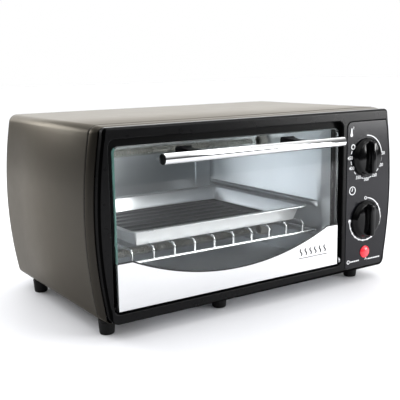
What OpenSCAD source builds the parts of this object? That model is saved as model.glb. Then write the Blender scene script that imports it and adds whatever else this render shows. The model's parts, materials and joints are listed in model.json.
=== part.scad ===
// Countertop toaster oven of about nine litres: a steel wrap round a lined cavity, a black front frame
// with a drop-down glass door, two dials on the right, and a wire rack with a baking tray.
// Millimetres, +Z up, +X to the right of a person facing the door, the door on the -Y side.
// The origin is on the surface the feet stand on, under the middle of the bounding box.

/* [Body] */
// Overall width across the bowed sides
body_w = 369; // [366:1:385]
// Height of the steel body, without the feet
body_h = 177.2; // [175:0.2:185]
// Depth of the steel body, from the front face of the bezel to the back edge of the wrap
body_d = 217; // [212:1:230]
// Radius of the bow of each side
side_r = 430; // [380:10:600]
// Height above the table at which the sides are widest
bow_z = 105; // [98:1:110]
// Radius of the upper corners
top_r = 9; // [8.5:0.5:12]
// Radius of the lower corners
bottom_r = 9; // [8.5:0.5:12]
// Thickness of the wrap's steel sheet
wrap_t = 0.8; // [0.6:0.1:0.9]
// Distance of the pressed line from the front face
groove_y = 20; // [16:1:24]
// Height of the feet
foot_h = 14.2; // [13:0.2:16]
// Radius of a foot at its top
foot_r = 8; // [6:0.5:9]

/* [Front] */
// Thickness of the front bezel
bezel_t = 7; // [7:0.5:9]
// Left edge of the door recess
recess_left = -168.8; // [-169.2:0.1:-168.4]
// Right edge of the door recess
recess_right = 106.3; // [105.8:0.1:106.7]
// Lower edge of the door recess
recess_bottom = 24; // [23:0.5:24]
// Upper edge of the door recess
recess_top = 180; // [179:0.5:181]
// Left edge of the control panel
panel_left = 112; // [111.4:0.2:113]

/* [Door] */
// Left edge of the glass
glass_left = -164.5; // [-164.9:0.1:-164.1]
// Right edge of the glass
glass_right = 99.8; // [99.5:0.1:100.1]
// Lower edge of the glass
glass_bottom = 26.3; // [26.3:0.1:26.6]
// Upper edge of the glass
glass_top = 173.5; // [172:0.5:175]
// Thickness of the glass
glass_t = 4; // [3.5:0.1:4]
// Height of the door's hinge axis
hinge_z = 29.8; // [29.6:0.1:30.2]
// Height of the silver band at its two ends
band_high_z = 70.3; // [68:0.5:76]
// Height of the silver band at its middle
band_low_z = 45.4; // [45.4:0.2:50]
// Length of the handle bar
bar_l = 207; // [180:1:230]
// Radius of the handle bar
bar_r = 4.75; // [4.5:0.05:5]
// Distance of the bar's axis in front of the bezel face
bar_out = 35; // [33:0.5:37]
// Height of the bar's axis
bar_z = 164; // [162:0.5:165]
// Half the distance between the two handle brackets
bracket_half = 61; // [50:1:70]

/* [Dials] */
// Sideways position of the dials
dial_x = 141.1; // [140.5:0.1:141.9]
// Height of the temperature dial
temperature_z = 139.5; // [138:0.5:141]
// Height of the timer dial
timer_z = 70.8; // [70:0.2:72]
// Radius of a knob's skirt
knob_r = 20.8; // [18.4:0.2:21.2]
// Height of a knob in front of the panel
knob_h = 12.8; // [12:0.2:14]
// Height of the pilot lamp
lamp_z = 34; // [33.5:0.5:35]
// Radius of the pilot lamp's flange
lamp_r = 6.8; // [6:0.2:7]

/* [Cavity] */
// Left inner face of the cavity
cavity_left = -161.1; // [-161.3:0.1:-160.9]
// Right inner face of the cavity
cavity_right = 96.5; // [96.3:0.1:96.7]
// Inner floor of the cavity
cavity_floor_z = 27; // [26.5:0.1:27.5]
// Inner roof of the cavity
cavity_roof_z = 172; // [171:0.5:173]
// Inner back face of the cavity, from the bezel face
cavity_back = 235; // [230:1:235]
// Height of the rack's side wires
rack_z = 61.6; // [60:0.2:63]
// Distance between two wires of the rack
rack_pitch = 23.2; // [22:0.1:23.6]
// Height of the baking tray
tray_h = 16.9; // [14:0.1:17]

/* [Hidden] */
$fn = 48;

// Working clearances: a face that only has to clear its neighbour, and a turning shaft's radial play
clear = 0.3;
play = 0.07;
past = 1;

// Heights of the steel body
body_bottom = foot_h;
body_top = foot_h + body_h;

// Centres and tangent angles of the arcs that make the body's outline
side_cx = body_w / 2 - side_r;
top_cz = body_top - top_r;
top_cx = side_cx + sqrt(pow(side_r - top_r, 2) - pow(top_cz - bow_z, 2));
top_ang = atan2(top_cz - bow_z, top_cx - side_cx);
bot_cz = body_bottom + bottom_r;
bot_cx = side_cx + sqrt(pow(side_r - bottom_r, 2) - pow(bot_cz - bow_z, 2));
bot_ang = atan2(bot_cz - bow_z, bot_cx - side_cx);

// Wrap: in front of the pressed line it draws in towards its front edge, more at the sides than at the
// top, and it has inward flanges under the body and round its back
wrap_front = 8.8;
wrap_front_inset = 3.2;
wrap_front_rise = 1.4;
wrap_slope = 1 / (groove_y - wrap_front);
flange_w = 7;
bottom_flange_x = 130;
back_plate_y = body_d - wrap_t;
rear_flange_y = back_plate_y - wrap_t;
groove_w = 2;
groove_depth = 0.45;
fit_inset = wrap_t + clear;
back_screw_places = [
    for (s = [-1, 1], z = [40, 105, 165]) [s * (side_half(z) - fit_inset - 3.3), z]
];

// Bezel: its side, its face behind a bevelled rim, and the lip that reaches into the wrap
bezel_inset = wrap_front_inset + wrap_t + 0.1;
bezel_rise = 2.8;
bezel_face_inset = 6.4;
bezel_rim_y = 2.4;
lip_t = 1.2;
lip_back = 13;
lip_bottom = 30;

// Control panel: its edges follow the body's outline and the door recess
panel_t = 2.95;
panel_top = recess_top - 1.8;
panel_inset = 7.5;
panel_foot = 4;
panel_bottom = body_bottom + panel_foot - 0.8;
lamp_neck_r = 4.8;

// Liner and its sheet thickness
liner_t = 0.8;
liner_front = bezel_t + liner_t;
mouth_flare = 4;
mouth_left = cavity_left - mouth_flare;
mouth_right = cavity_right + mouth_flare;
cavity_mid = (cavity_left + cavity_right) / 2;
frame_screw_places = [for (x = [-123.5, -32.5, 58.5], z = [19.6, 182.8]) [x, z]];
shield_x = 104;
fold_y = 23;
ledge_w = 7.6;
ledge_t = 2;
ledge_gap = 0.05;
rack_side_r = 1.5;
lower_ledge_z = rack_z - rack_side_r - ledge_gap;
upper_ledge_z = 92.5;

// Bulge of the back cover round the back of the liner
bulge_gap = 4;
bulge_back = cavity_back + liner_t + 7.2;
bulge_r = 12;

// Handle and overall box: the frame's middle is midway between the bar and the back of the bulge
bar_front = -bar_out - bar_r;
front_y = -(bar_front + bulge_back) / 2;

// Feet: one near each corner, set in on the side of the controls, and one under the door
foot_left_x = -164.5;
foot_right_x = 145;
foot_middle_x = -38.4;
foot_front_y = 25.5;
foot_rear_y = 184.4;
foot_places = [
    [foot_left_x, foot_front_y], [foot_right_x, foot_front_y], [foot_left_x, foot_rear_y],
    [foot_right_x, foot_rear_y], [foot_middle_x, foot_front_y]
];
door_mid = (glass_left + glass_right) / 2;
screw_r = 1.5;
screw_head_r = 2.8;
base_z = body_bottom + wrap_t + 0.05;

// Mains connection: the terminal block on the base and the bush in the back cover
block_y = 188.5;
gland_x = 141;
gland_z = 40;
gland_neck_r = 6;

// Door: the glass stands just behind the bezel's face, and the hinge axis runs inside its thickness
glass_y = 0.2;
glass_back = glass_y + glass_t;
hinge_y = 3;
pin_r = 1.8;
pin_l = 3.2;
pin_gap = 0.5;
tab_t = 1.2;
tab_gap = 0.4;
rail_t = 1.2;
rail_y = glass_back + 0.05;
rail_top = 44;
band_t = 0.5;
band_flat = 15;

// Heaters
heater_y = (liner_front + cavity_back) / 2;
upper_heater_z = 152;
lower_heater_z = 45;
heater_r = 5;
heater_wall = 1;
heater_cap_r = 7.5;
heater_cap_l = 8;
heater_pocket = 5;
coil_r = 2.6;
coil_pitch = 10;

// Dials and what is behind them
shaft_r = 3;
shaft_bore_r = shaft_r + play;
collar_r = 4.4;
control_y = bezel_t + 2;
knob_gap = 0.6;

// Rack and tray
rack_front = 24.5;
rack_back = 216;
rack_wire_r = 1.1;
rack_cross_r = 1.3;
rack_top = rack_z + 12.3;
rack_bend = 4;
rack_wire_count = 10;
rack_side_x = (cavity_right - cavity_left) / 2 - 5.5;
tray_w = 219;
tray_front = 17;
tray_back = 193;
tray_r = 14;
tray_rim = 8;
tray_t = 0.7;
tray_z = rack_top + rack_wire_r + 0.1;
tray_taper = 6;

// ---------------------------------------------------------------- helpers

// Moves the front-based drawing frame (y = 0 on the bezel's face) to the part's own frame
module placed() {
    translate([0, front_y, 0]) children();
}

// Box between two corners
module box(lo, hi) {
    translate(lo) cube(hi - lo);
}

// Extrudes a shape drawn in (x, z) from y0 to y1
module along_y(y0, y1) {
    translate([0, y1, 0]) rotate([90, 0, 0]) linear_extrude(y1 - y0) children();
}

// Cylinder along X from x0 to x1 at (y, z)
module rod_x(x0, x1, y, z, r) {
    translate([x0, y, z]) rotate([0, 90, 0]) cylinder(h = x1 - x0, r = r);
}

// Cylinder along Y from y0 to y1 at (x, z)
module rod_y(y0, y1, x, z, r) {
    translate([x, y1, z]) rotate([90, 0, 0]) cylinder(h = y1 - y0, r = r);
}

// Cone along Y: radius r0 at y0 and r1 at y1
module cone_y(y0, y1, x, z, r0, r1) {
    translate([x, y1, z]) rotate([90, 0, 0]) cylinder(h = y1 - y0, r1 = r1, r2 = r0);
}

// Points of an arc, ends included
function arc(cx, cy, r, a0, a1, n) = [
    for (i = [0:n]) let (a = a0 + (a1 - a0) * i / n) [cx + r * cos(a), cy + r * sin(a)]
];

// Half width of the body at a height
function side_half(z) = side_cx + sqrt(pow(side_r, 2) - pow(z - bow_z, 2));

// Right half of the body's outline, drawn the given distance inside the outer skin, with its foot let
// down and its top raised
function half_outline(inset, drop, rise) = concat(
    arc(bot_cx, bot_cz - drop, bottom_r - inset, -90, bot_ang, 6),
    [for (i = [1:13]) let (a = bot_ang + (top_ang - bot_ang) * i / 14)
        [side_cx + (side_r - inset) * cos(a), bow_z + (side_r - inset) * sin(a)]],
    arc(top_cx, top_cz + rise, top_r - inset, top_ang, 90, 6)
);

function mirrored(points) = [for (i = [len(points) - 1:-1:0]) [-points[i][0], points[i][1]]];

module body_outline(inset, drop = 0, rise = 0) {
    half = half_outline(inset, drop, rise);
    polygon(concat(half, mirrored(half)));
}

// Solid between two outlines, at y0 and y1, whose foot stays level at a height above the body's bottom
module taper(y0, inset0, rise0, y1, inset1, rise1, lift) {
    hull() {
        along_y(y0, y0 + 0.01) body_outline(inset0, inset0 - lift, rise0);
        along_y(y1 - 0.01, y1) body_outline(inset1, inset1 - lift, rise1);
    }
}

// Rectangle with round corners, drawn in the plane
module round_rect(x0, y0, x1, y1, r) {
    polygon(concat(
        arc(x1 - r, y1 - r, r, 0, 90, 6),
        arc(x0 + r, y1 - r, r, 90, 180, 6),
        arc(x0 + r, y0 + r, r, 180, 270, 6),
        arc(x1 - r, y0 + r, r, 270, 360, 6)
    ));
}

// Wire of radius r swept along a list of points that never run parallel to X
function unit(v) = v / norm(v);
function tangent(p, i) = unit(p[min(i + 1, len(p) - 1)] - p[max(i - 1, 0)]);
function ring(p, i, r, sides) = let (t = tangent(p, i), u = unit(cross(t, [1, 0, 0])), v = cross(t, u))
    [for (k = [0:sides - 1]) p[i] + r * (cos(360 * k / sides) * u + sin(360 * k / sides) * v)];

module swept_wire(p, r, sides) {
    last = len(p) - 1;
    rings = [for (i = [0:last]) each ring(p, i, r, sides)];
    skin = [for (i = [0:last - 1], k = [0:sides - 1])
        let (a = i * sides, b = a + sides, n = (k + 1) % sides)
        each [[a + k, a + n, b + n], [a + k, b + n, b + k]]];
    near = [for (k = [sides - 1:-1:0]) k];
    far = [for (k = [0:sides - 1]) last * sides + k];
    polyhedron(rings, concat(skin, [near, far]));
}

// Pan-head screw along Z, its head's underside at z = 0 and its shank below
module screw(shank) {
    cylinder(h = 1.8, r = screw_head_r);
    translate([0, 0, -shank]) cylinder(h = shank, r = screw_r);
}

// ---------------------------------------------------------------- case

module housing_wrap() {
    ahead = 1 + past * wrap_slope;
    inner_inset = wrap_front_inset * ahead + wrap_t;
    inner_rise = wrap_front_rise * ahead;
    color("#6a655b") placed() difference() {
        union() {
            difference() {
                union() {
                    taper(wrap_front, wrap_front_inset, wrap_front_rise, groove_y + 0.01, 0, 0, 0);
                    along_y(groove_y, body_d) body_outline(0);
                }
                taper(wrap_front - past, inner_inset, inner_rise, groove_y, wrap_t, 0, wrap_t);
                along_y(groove_y - 0.01, body_d + past) body_outline(wrap_t);
            }
            along_y(rear_flange_y, back_plate_y) difference() {
                body_outline(wrap_t / 2);
                body_outline(wrap_t + flange_w);
            }
        }
        box([-bottom_flange_x, wrap_front - past, body_bottom - past],
            [bottom_flange_x, rear_flange_y - clear, body_bottom + wrap_t + 0.1]);
        along_y(groove_y, groove_y + groove_w) difference() {
            body_outline(-past);
            body_outline(groove_depth);
        }
        foot_screw_holes();
        for (p = back_screw_places)
            rod_y(rear_flange_y - past, back_plate_y + past, p[0], p[1], screw_r + 0.1);
    }
}

module foot_screw_holes() {
    for (p = foot_places)
        translate([p[0], p[1], body_bottom - past]) cylinder(h = 2 * past + 2 * wrap_t, r = screw_r + clear);
}

module base_plate() {
    color("#b9bcbd") placed() difference() {
        box([-bot_cx, bezel_t + past, base_z], [bot_cx, rear_flange_y - 2 * clear, base_z + wrap_t]);
        foot_screw_holes();
        // Rows of air slots under the controls
        for (y = [60:14:158]) box([114, y, base_z - past], [138, y + 4, base_z + 2]);
    }
}

module back_cover() {
    x0 = cavity_left - liner_t - bulge_gap;
    x1 = cavity_right + liner_t + bulge_gap;
    z0 = cavity_floor_z - liner_t - bulge_gap;
    z1 = cavity_roof_z + liner_t + bulge_gap;
    t = wrap_t;
    color("#b9bcbd") placed() difference() {
        union() {
            along_y(back_plate_y, body_d) body_outline(fit_inset);
            along_y(back_plate_y, bulge_back) round_rect(x0 - t, z0 - t, x1 + t, z1 + t, bulge_r + t);
        }
        along_y(back_plate_y - past, bulge_back - t) round_rect(x0, z0, x1, z1, bulge_r);
        // Air slots behind the controls, and in the bulge above the liner
        for (z = [56:12:164]) box([122, back_plate_y - past, z], [160, body_d + past, z + 4]);
        for (x = [-140:20:80]) box([x, cavity_back + 2, z1 - past], [x + 12, cavity_back + 5, z1 + 2]);
        for (p = back_screw_places) rod_y(back_plate_y - past, body_d + past, p[0], p[1], screw_r + clear);
        rod_y(back_plate_y - past, body_d + past, gland_x, gland_z, gland_neck_r + 0.2);
    }
}

module back_cover_screws() {
    color("#8d9092") placed() for (p = back_screw_places)
        translate([p[0], body_d + 0.02, p[1]]) rotate([-90, 0, 0]) screw(6);
}

module foot(x, y, top) {
    color("#141416") placed() translate([x, y, 0]) difference() {
        union() {
            cylinder(h = 1.5, r1 = foot_r - 1.8, r2 = foot_r - 1);
            translate([0, 0, 1.5]) cylinder(h = top - 1.5, r1 = foot_r - 1, r2 = foot_r);
        }
        translate([0, 0, 5]) cylinder(h = top, r = screw_r + 0.1);
    }
}

module foot_front_left() { foot(foot_left_x, foot_front_y, body_bottom); }
module foot_front_right() { foot(foot_right_x, foot_front_y, body_bottom); }
module foot_rear_left() { foot(foot_left_x, foot_rear_y, body_bottom); }
module foot_rear_right() { foot(foot_right_x, foot_rear_y, body_bottom); }
module foot_front_middle() { foot(foot_middle_x, foot_front_y, base_z); }

module foot_screws() {
    head_z = base_z + wrap_t + 0.02;
    color("#8d9092") placed() for (p = foot_places) translate([p[0], p[1], head_z]) screw(9);
}

// ---------------------------------------------------------------- front

// Control panel's outline, grown by g
module panel_outline(g) {
    intersection() {
        body_outline(panel_inset - g, panel_inset - panel_foot);
        round_rect(panel_left - g, panel_bottom - g - 20, body_w, panel_top + g, 7);
        round_rect(panel_left - g, panel_bottom - g, body_w, body_top + 20, 2);
    }
}

module front_bezel() {
    color("#1b1b1d") placed() difference() {
        union() {
            taper(0, bezel_face_inset, bezel_rise, bezel_rim_y, bezel_inset, bezel_rise, fit_inset);
            along_y(bezel_rim_y - 0.01, bezel_t)
                body_outline(bezel_inset, bezel_inset - fit_inset, bezel_rise);
            difference() {
                along_y(bezel_t - past, lip_back) body_outline(bezel_inset, bezel_inset - fit_inset);
                along_y(bezel_t, lip_back + past) body_outline(bezel_inset + lip_t, bezel_inset - fit_inset);
                box([-body_w, bezel_t, 0], [body_w, lip_back + past, lip_bottom]);
            }
        }
        along_y(-past, bezel_t + past) round_rect(recess_left, recess_bottom, recess_right, recess_top, 7);
        along_y(-past, panel_t + 0.05) panel_outline(clear);
        for (z = [temperature_z, timer_z]) rod_y(0, bezel_t + past, dial_x, z, collar_r + 0.2);
        rod_y(0, bezel_t + past, dial_x, lamp_z, lamp_neck_r + 0.2);
        rod_x(recess_left - pin_l, recess_left + past, hinge_y, hinge_z, pin_r + play);
        rod_x(recess_right - past, recess_right + pin_l, hinge_y, hinge_z, pin_r + play);
        frame_screw_holes(screw_r + 0.1);
    }
}

module control_panel() {
    color("#1d1e22") placed() difference() {
        along_y(0, panel_t) panel_outline(0);
        for (z = [temperature_z, timer_z]) rod_y(-past, panel_t + past, dial_x, z, shaft_r + clear);
        rod_y(-past, panel_t + past, dial_x, lamp_z, lamp_neck_r + 0.2);
    }
}

module pilot_lamp_lens() {
    color("#d8202a") placed() difference() {
        union() {
            rod_y(-1.2, 0, dial_x, lamp_z, lamp_r);
            rod_y(-0.5, 6, dial_x, lamp_z, lamp_neck_r);
            intersection() {
                translate([dial_x, 5.2, lamp_z]) sphere(r = 8.6);
                rod_y(-4, -1.2, dial_x, lamp_z, lamp_r - 0.9);
            }
        }
        rod_y(-1, 6 + past, dial_x, lamp_z, 3.2);
    }
}

module pilot_lamp_bulb() {
    color("#f2e6d8") placed() {
        rod_y(1.5, 16, dial_x, lamp_z, 2.4);
        translate([dial_x, 1.5, lamp_z]) sphere(r = 2.4);
    }
}

module pilot_lamp_holder() {
    color("#e8e4da") placed() difference() {
        union() {
            rod_y(bezel_t, bezel_t + 2, dial_x, lamp_z, 7.5);
            rod_y(bezel_t, 22, dial_x, lamp_z, 5.5);
        }
        rod_y(bezel_t - past, 18, dial_x, lamp_z, 2.6);
    }
}

// ---------------------------------------------------------------- cavity

module frame_screw_holes(r) {
    for (p = frame_screw_places) rod_y(2.6, liner_front + past, p[0], p[1], r);
}

module cavity_front_frame() {
    color("#2a2a2c") placed() difference() {
        along_y(bezel_t, liner_front) difference() {
            round_rect(recess_left - 2.5, body_bottom + 2.2, recess_right + 4, body_top - 5.9, 5);
            round_rect(mouth_left, cavity_floor_z, mouth_right, cavity_roof_z, 2);
        }
        frame_screw_holes(screw_r + clear);
    }
}

module front_frame_screws() {
    color("#8d9092") placed() for (p = frame_screw_places)
        translate([p[0], liner_front + 0.02, p[1]]) rotate([-90, 0, 0]) screw(4.8);
}

// Side wall seen from above: flared at the mouth, folded at fold_y, then straight to the back
module liner_wall(x, s) {
    t = s * liner_t;
    flare = s * mouth_flare;
    translate([0, 0, cavity_floor_z]) linear_extrude(cavity_roof_z - cavity_floor_z) polygon([
        [x + flare, liner_front], [x + flare + t, liner_front], [x + t, fold_y],
        [x + t, cavity_back], [x, cavity_back], [x, fold_y]
    ]);
}

module liner_ledges(x, s) {
    for (z = [lower_ledge_z, upper_ledge_z])
        box([min(x, x - s * ledge_w), fold_y + 6, z - ledge_t],
            [max(x, x - s * ledge_w), cavity_back - 8, z]);
}

module liner_side(x, s) {
    color("#c3c7c9") placed() difference() {
        union() {
            liner_wall(x, s);
            liner_ledges(x, s);
        }
        for (z = [lower_heater_z, upper_heater_z]) rod_x(x - 4, x + 4, heater_y, z, heater_r - 0.7);
    }
}

module cavity_left_wall() { liner_side(cavity_left, -1); }
module cavity_right_wall() { liner_side(cavity_right, 1); }

// Roof or floor sheet: it follows the side walls' flare, and lies across their edges
module liner_sheet(z) {
    t = liner_t;
    translate([0, 0, z]) linear_extrude(t) polygon([
        [mouth_left - t, liner_front], [mouth_right + t, liner_front], [cavity_right + t, fold_y],
        [cavity_right + t, cavity_back], [cavity_left - t, cavity_back], [cavity_left - t, fold_y]
    ]);
}

module cavity_roof() {
    color("#c3c7c9") placed() liner_sheet(cavity_roof_z);
}

module cavity_floor() {
    color("#9a9da0") placed() liner_sheet(cavity_floor_z - liner_t);
}

module cavity_back_wall() {
    color("#c3c7c9") placed() box([cavity_left - liner_t, cavity_back, cavity_floor_z - liner_t],
        [cavity_right + liner_t, cavity_back + liner_t, cavity_roof_z + liner_t]);
}

module heat_shield() {
    color("#b9bcbd") placed() difference() {
        union() {
            box([shield_x, liner_front + 2, base_z + wrap_t], [shield_x + 0.8, 210, cavity_roof_z + 8]);
            box([shield_x, liner_front + 2, base_z + wrap_t], [shield_x + 9, 210, base_z + 2 * wrap_t]);
        }
        for (z = [lower_heater_z, upper_heater_z]) rod_x(shield_x - 5, shield_x + 5, heater_y, z, 4);
        for (y = [60:14:158]) box([114, y, base_z], [138, y + 4, base_z + 4]);
    }
}

module heater_tube(z) {
    x0 = cavity_left + heater_cap_l - heater_pocket;
    x1 = cavity_right - heater_cap_l + heater_pocket;
    color("#d9d9d2") placed() difference() {
        rod_x(x0, x1, heater_y, z, heater_r);
        rod_x(x0 - past, x1 + past, heater_y, z, heater_r - heater_wall);
    }
}

module heater_coil(z) {
    x0 = cavity_left + heater_cap_l + 4;
    turns = floor((cavity_right - cavity_left - 2 * heater_cap_l - 8) / coil_pitch);
    steps = 10;
    path = [for (i = [0:turns * steps]) let (a = 360 * i / steps)
        [x0 + coil_pitch * i / steps, heater_y + coil_r * cos(a), z + coil_r * sin(a)]];
    color("#6b6259") placed() swept_wire(path, 0.55, 5);
}

// Ceramic cap at each end: a pocket for the tube, and a stub through the wall
module heater_caps(z) {
    color("#eee9dd") placed() for (s = [-1, 1]) {
        wall = s < 0 ? cavity_left : cavity_right;
        inner = wall - s * heater_cap_l;
        outer = wall + s * 5.5;
        difference() {
            union() {
                rod_x(min(wall, inner), max(wall, inner), heater_y, z, heater_cap_r);
                rod_x(min(wall - s, outer), max(wall - s, outer), heater_y, z, heater_r - 1);
            }
            rod_x(min(inner - s * past, inner + s * heater_pocket),
                max(inner - s * past, inner + s * heater_pocket), heater_y, z, heater_r + 0.1);
            rod_x(min(wall, outer) - 6, max(wall, outer) + 6, heater_y, z, 1.2);
        }
    }
}

module upper_heater_tube() { heater_tube(upper_heater_z); }
module upper_heater_coil() { heater_coil(upper_heater_z); }
module upper_heater_caps() { heater_caps(upper_heater_z); }
module lower_heater_tube() { heater_tube(lower_heater_z); }
module lower_heater_coil() { heater_coil(lower_heater_z); }
module lower_heater_caps() { heater_caps(lower_heater_z); }

// ---------------------------------------------------------------- controls

module thermostat_body() {
    color("#cfc9b8") placed() difference() {
        union() {
            box([dial_x - 17, control_y, temperature_z - 15],
                [dial_x + 17, control_y + 16, temperature_z + 15]);
            rod_y(panel_t + 0.1, control_y + past, dial_x, temperature_z, collar_r);
            rod_y(bezel_t, control_y + past, dial_x, temperature_z, 8);
        }
        rod_y(0, 20, dial_x, temperature_z, shaft_bore_r);
    }
}

module timer_body() {
    color("#b8bbbd") placed() difference() {
        union() {
            rod_y(control_y, control_y + 24, dial_x, timer_z, 22);
            rod_y(panel_t + 0.1, control_y + past, dial_x, timer_z, collar_r);
            rod_y(bezel_t, control_y + past, dial_x, timer_z, 8);
            rod_y(control_y + 23, control_y + 29, dial_x, timer_z, 3);
        }
        rod_y(0, 20, dial_x, timer_z, shaft_bore_r);
    }
}

// Bell: a shallow steel cup over the end of the timer's post
module timer_bell() {
    y0 = control_y + 29;
    color("#c9c9c6") placed() translate([dial_x, y0, timer_z]) rotate([90, 0, 0]) difference() {
        union() {
            translate([0, 0, -1]) cylinder(h = 1, r = 15);
            cylinder(h = 4.5, r1 = 15, r2 = 17);
        }
        cylinder(h = 5.4, r1 = 14.2, r2 = 16.6);
    }
}

module terminal_block() {
    z0 = base_z + wrap_t;
    color("#e3dfd2") placed() difference() {
        union() {
            box([126, block_y, z0], [156, block_y + 14, z0 + 4]);
            for (x = [127.5, 137, 146.5]) box([x, block_y + 1, z0 + 3], [x + 8, block_y + 13, z0 + 12]);
        }
        for (x = [131.5, 141, 150.5]) translate([x, block_y + 7, z0 + 8]) cylinder(h = 6, r = 2);
    }
}

// Route through a few points with its corners rounded off
function rounded(p, r, n) = concat([p[0]], [
    for (i = [1:len(p) - 2], k = [0:n]) let (
        a = p[i] + r * unit(p[i - 1] - p[i]), b = p[i] + r * unit(p[i + 1] - p[i]), t = k / n
    ) (1 - t) * (1 - t) * a + 2 * t * (1 - t) * p[i] + t * t * b
], [p[len(p) - 1]]);

// Three insulated leads: mains to the thermostat, to the timer, and to the pilot lamp
module internal_wires() {
    y0 = block_y + 0.95;
    z0 = base_z + wrap_t + 8;
    back = control_y + 16.1;
    color("#d8d2c4") placed() {
        swept_wire(rounded([[131.5, y0, z0], [131.5, 165, z0], [120, 60, 160], [134, 40, 150],
            [136, back, 150]], 8, 5), 1.1, 8);
        swept_wire(rounded([[141, y0, z0], [141, 160, z0], [168, 80, 60], [168, 60, 120], [156, 42, 134],
            [154, back, 134]], 8, 5), 1.1, 8);
        swept_wire(rounded([[150.5, y0, z0], [150.5, 130, z0], [147, 48, 34], [143.5, 22.1, 34]],
            8, 5), 1.1, 8);
    }
}

// Round bush in the back cover: a groove holds the sheet, and its bore takes a mains lead
module cord_gland() {
    color("#17171a") placed() difference() {
        union() {
            rod_y(back_plate_y - 3, back_plate_y - 0.1, gland_x, gland_z, 8.5);
            rod_y(back_plate_y - 2, body_d + 2, gland_x, gland_z, gland_neck_r);
            cone_y(body_d + 0.1, body_d + 8, gland_x, gland_z, 8.5, 7);
        }
        rod_y(back_plate_y - 4, body_d + 9, gland_x, gland_z, 3.4);
    }
}

// ---------------------------------------------------------------- door

module door_glass() {
    color("#cfe5df", 0.35) placed() difference() {
        along_y(glass_y, glass_back) round_rect(glass_left, glass_bottom, glass_right, glass_top, 5.5);
        for (s = [-1, 1]) rod_y(glass_y - past, glass_back + past, door_mid + s * bracket_half, bar_z, 2.4);
    }
}

// Silver band: level at both ends, and a long hollow arc between them
module door_silver_band() {
    x0 = glass_left + 0.4;
    x1 = glass_right - 0.4;
    half = (x1 - x0) / 2 - band_flat;
    drop = band_high_z - band_low_z;
    r = (half * half + drop * drop) / (2 * drop);
    a = asin(half / r);
    color("#e4e5e6") placed() along_y(glass_y - band_t, glass_y) polygon(concat(
        [[x0, glass_bottom + 0.4], [x1, glass_bottom + 0.4], [x1, band_high_z]],
        arc((x0 + x1) / 2, band_low_z + r, r, -90 + a, -90 - a, 20),
        [[x0, band_high_z]]
    ));
}

// Folded rail along the foot of the glass, with an end tab round each lower corner
module door_bottom_rail() {
    color("#2a2a2c") placed() {
        box([glass_left + 2, rail_y, glass_bottom + 0.3], [glass_right - 2, rail_y + rail_t, rail_top]);
        for (s = [0, 1]) {
            edge = s == 0 ? glass_left - tab_gap - tab_t : glass_right + tab_gap;
            inner = s == 0 ? glass_left + 3 : glass_right - 3;
            box([edge, glass_y + 0.6, glass_bottom + 0.3], [edge + tab_t, rail_y + rail_t, hinge_z + 4.2]);
            box([min(edge, inner), rail_y, glass_bottom + 0.3],
                [max(edge + tab_t, inner), rail_y + rail_t, hinge_z + 4.2]);
        }
    }
}

module hinge_pin_left() {
    x1 = glass_left - tab_gap - tab_t;
    color("#9a9da0") placed() rod_x(recess_left - pin_l + pin_gap, x1, hinge_y, hinge_z, pin_r);
}

module hinge_pin_right() {
    x0 = glass_right + tab_gap + tab_t;
    color("#9a9da0") placed() rod_x(x0, recess_right + pin_l - pin_gap, hinge_y, hinge_z, pin_r);
}

// Torsion spring round the right hinge pin: one leg up the door's tab, one back to the front frame
module door_spring() {
    x0 = glass_right + tab_gap + tab_t + 0.6;
    turns = 2.75;
    steps = 16;
    wind = 2.72;
    wire = 0.42;
    pitch = 0.88;
    coil = [for (i = [0:turns * steps]) let (a = -360 * i / steps)
        [x0 + pitch * i / steps, hinge_y + wind * cos(a), hinge_z + wind * sin(a)]];
    end = coil[len(coil) - 1];
    path = concat([[x0, hinge_y + wind, hinge_z + 8], [x0, hinge_y + wind, hinge_z + 1]], coil,
        [[end[0], end[1] + 1, end[2]], [end[0], bezel_t - 0.6, end[2]]]);
    color("#b5b8ba") placed() swept_wire(path, wire, 8);
}

module handle_bar() {
    x0 = door_mid - bar_l / 2;
    color("#d6d8da") placed() difference() {
        rod_x(x0, x0 + bar_l, -bar_out, bar_z, bar_r);
        rod_x(x0 - past, x0 + bar_l + past, -bar_out, bar_z, bar_r - 1);
        for (s = [-1, 1]) rod_y(-bar_out, -bar_out + bar_r + past, door_mid + s * bracket_half, bar_z, 2.1);
    }
}

module handle_end_caps() {
    x0 = door_mid - bar_l / 2;
    color("#141416") placed() for (s = [-1, 1]) {
        face = s < 0 ? x0 : x0 + bar_l;
        rod_x(face - (s < 0 ? 1.6 : 0), face + (s < 0 ? 0 : 1.6), -bar_out, bar_z, bar_r);
        rod_x(face - (s < 0 ? 0.5 : 8), face + (s < 0 ? 8 : 0.5), -bar_out, bar_z, bar_r - 1.1);
    }
}

// Bracket: a flange on the glass that narrows to a saddle behind the bar
module handle_bracket(x) {
    color("#141416") placed() difference() {
        hull() {
            along_y(glass_y - 2.2, glass_y - 0.02) round_rect(x - 9, bar_z - 5.4, x + 9, bar_z + 5.4, 2);
            along_y(-bar_out + 3, -bar_out + 4) round_rect(x - 5.5, bar_z - 3.4, x + 5.5, bar_z + 3.4, 1.5);
        }
        rod_x(x - 12, x + 12, -bar_out, bar_z, bar_r + 0.05);
        rod_y(-bar_out, glass_y + past, x, bar_z, 2.1);
    }
}

module handle_bracket_left() { handle_bracket(door_mid - bracket_half); }
module handle_bracket_right() { handle_bracket(door_mid + bracket_half); }

module handle_screws() {
    color("#c9cbcd") placed() for (s = [-1, 1]) {
        x = door_mid + s * bracket_half;
        rod_y(glass_back + 0.02, glass_back + 2.2, x, bar_z, 4);
        rod_y(-bar_out + 2.4, glass_back + past, x, bar_z, 1.95);
    }
}

// ---------------------------------------------------------------- dials

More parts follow.
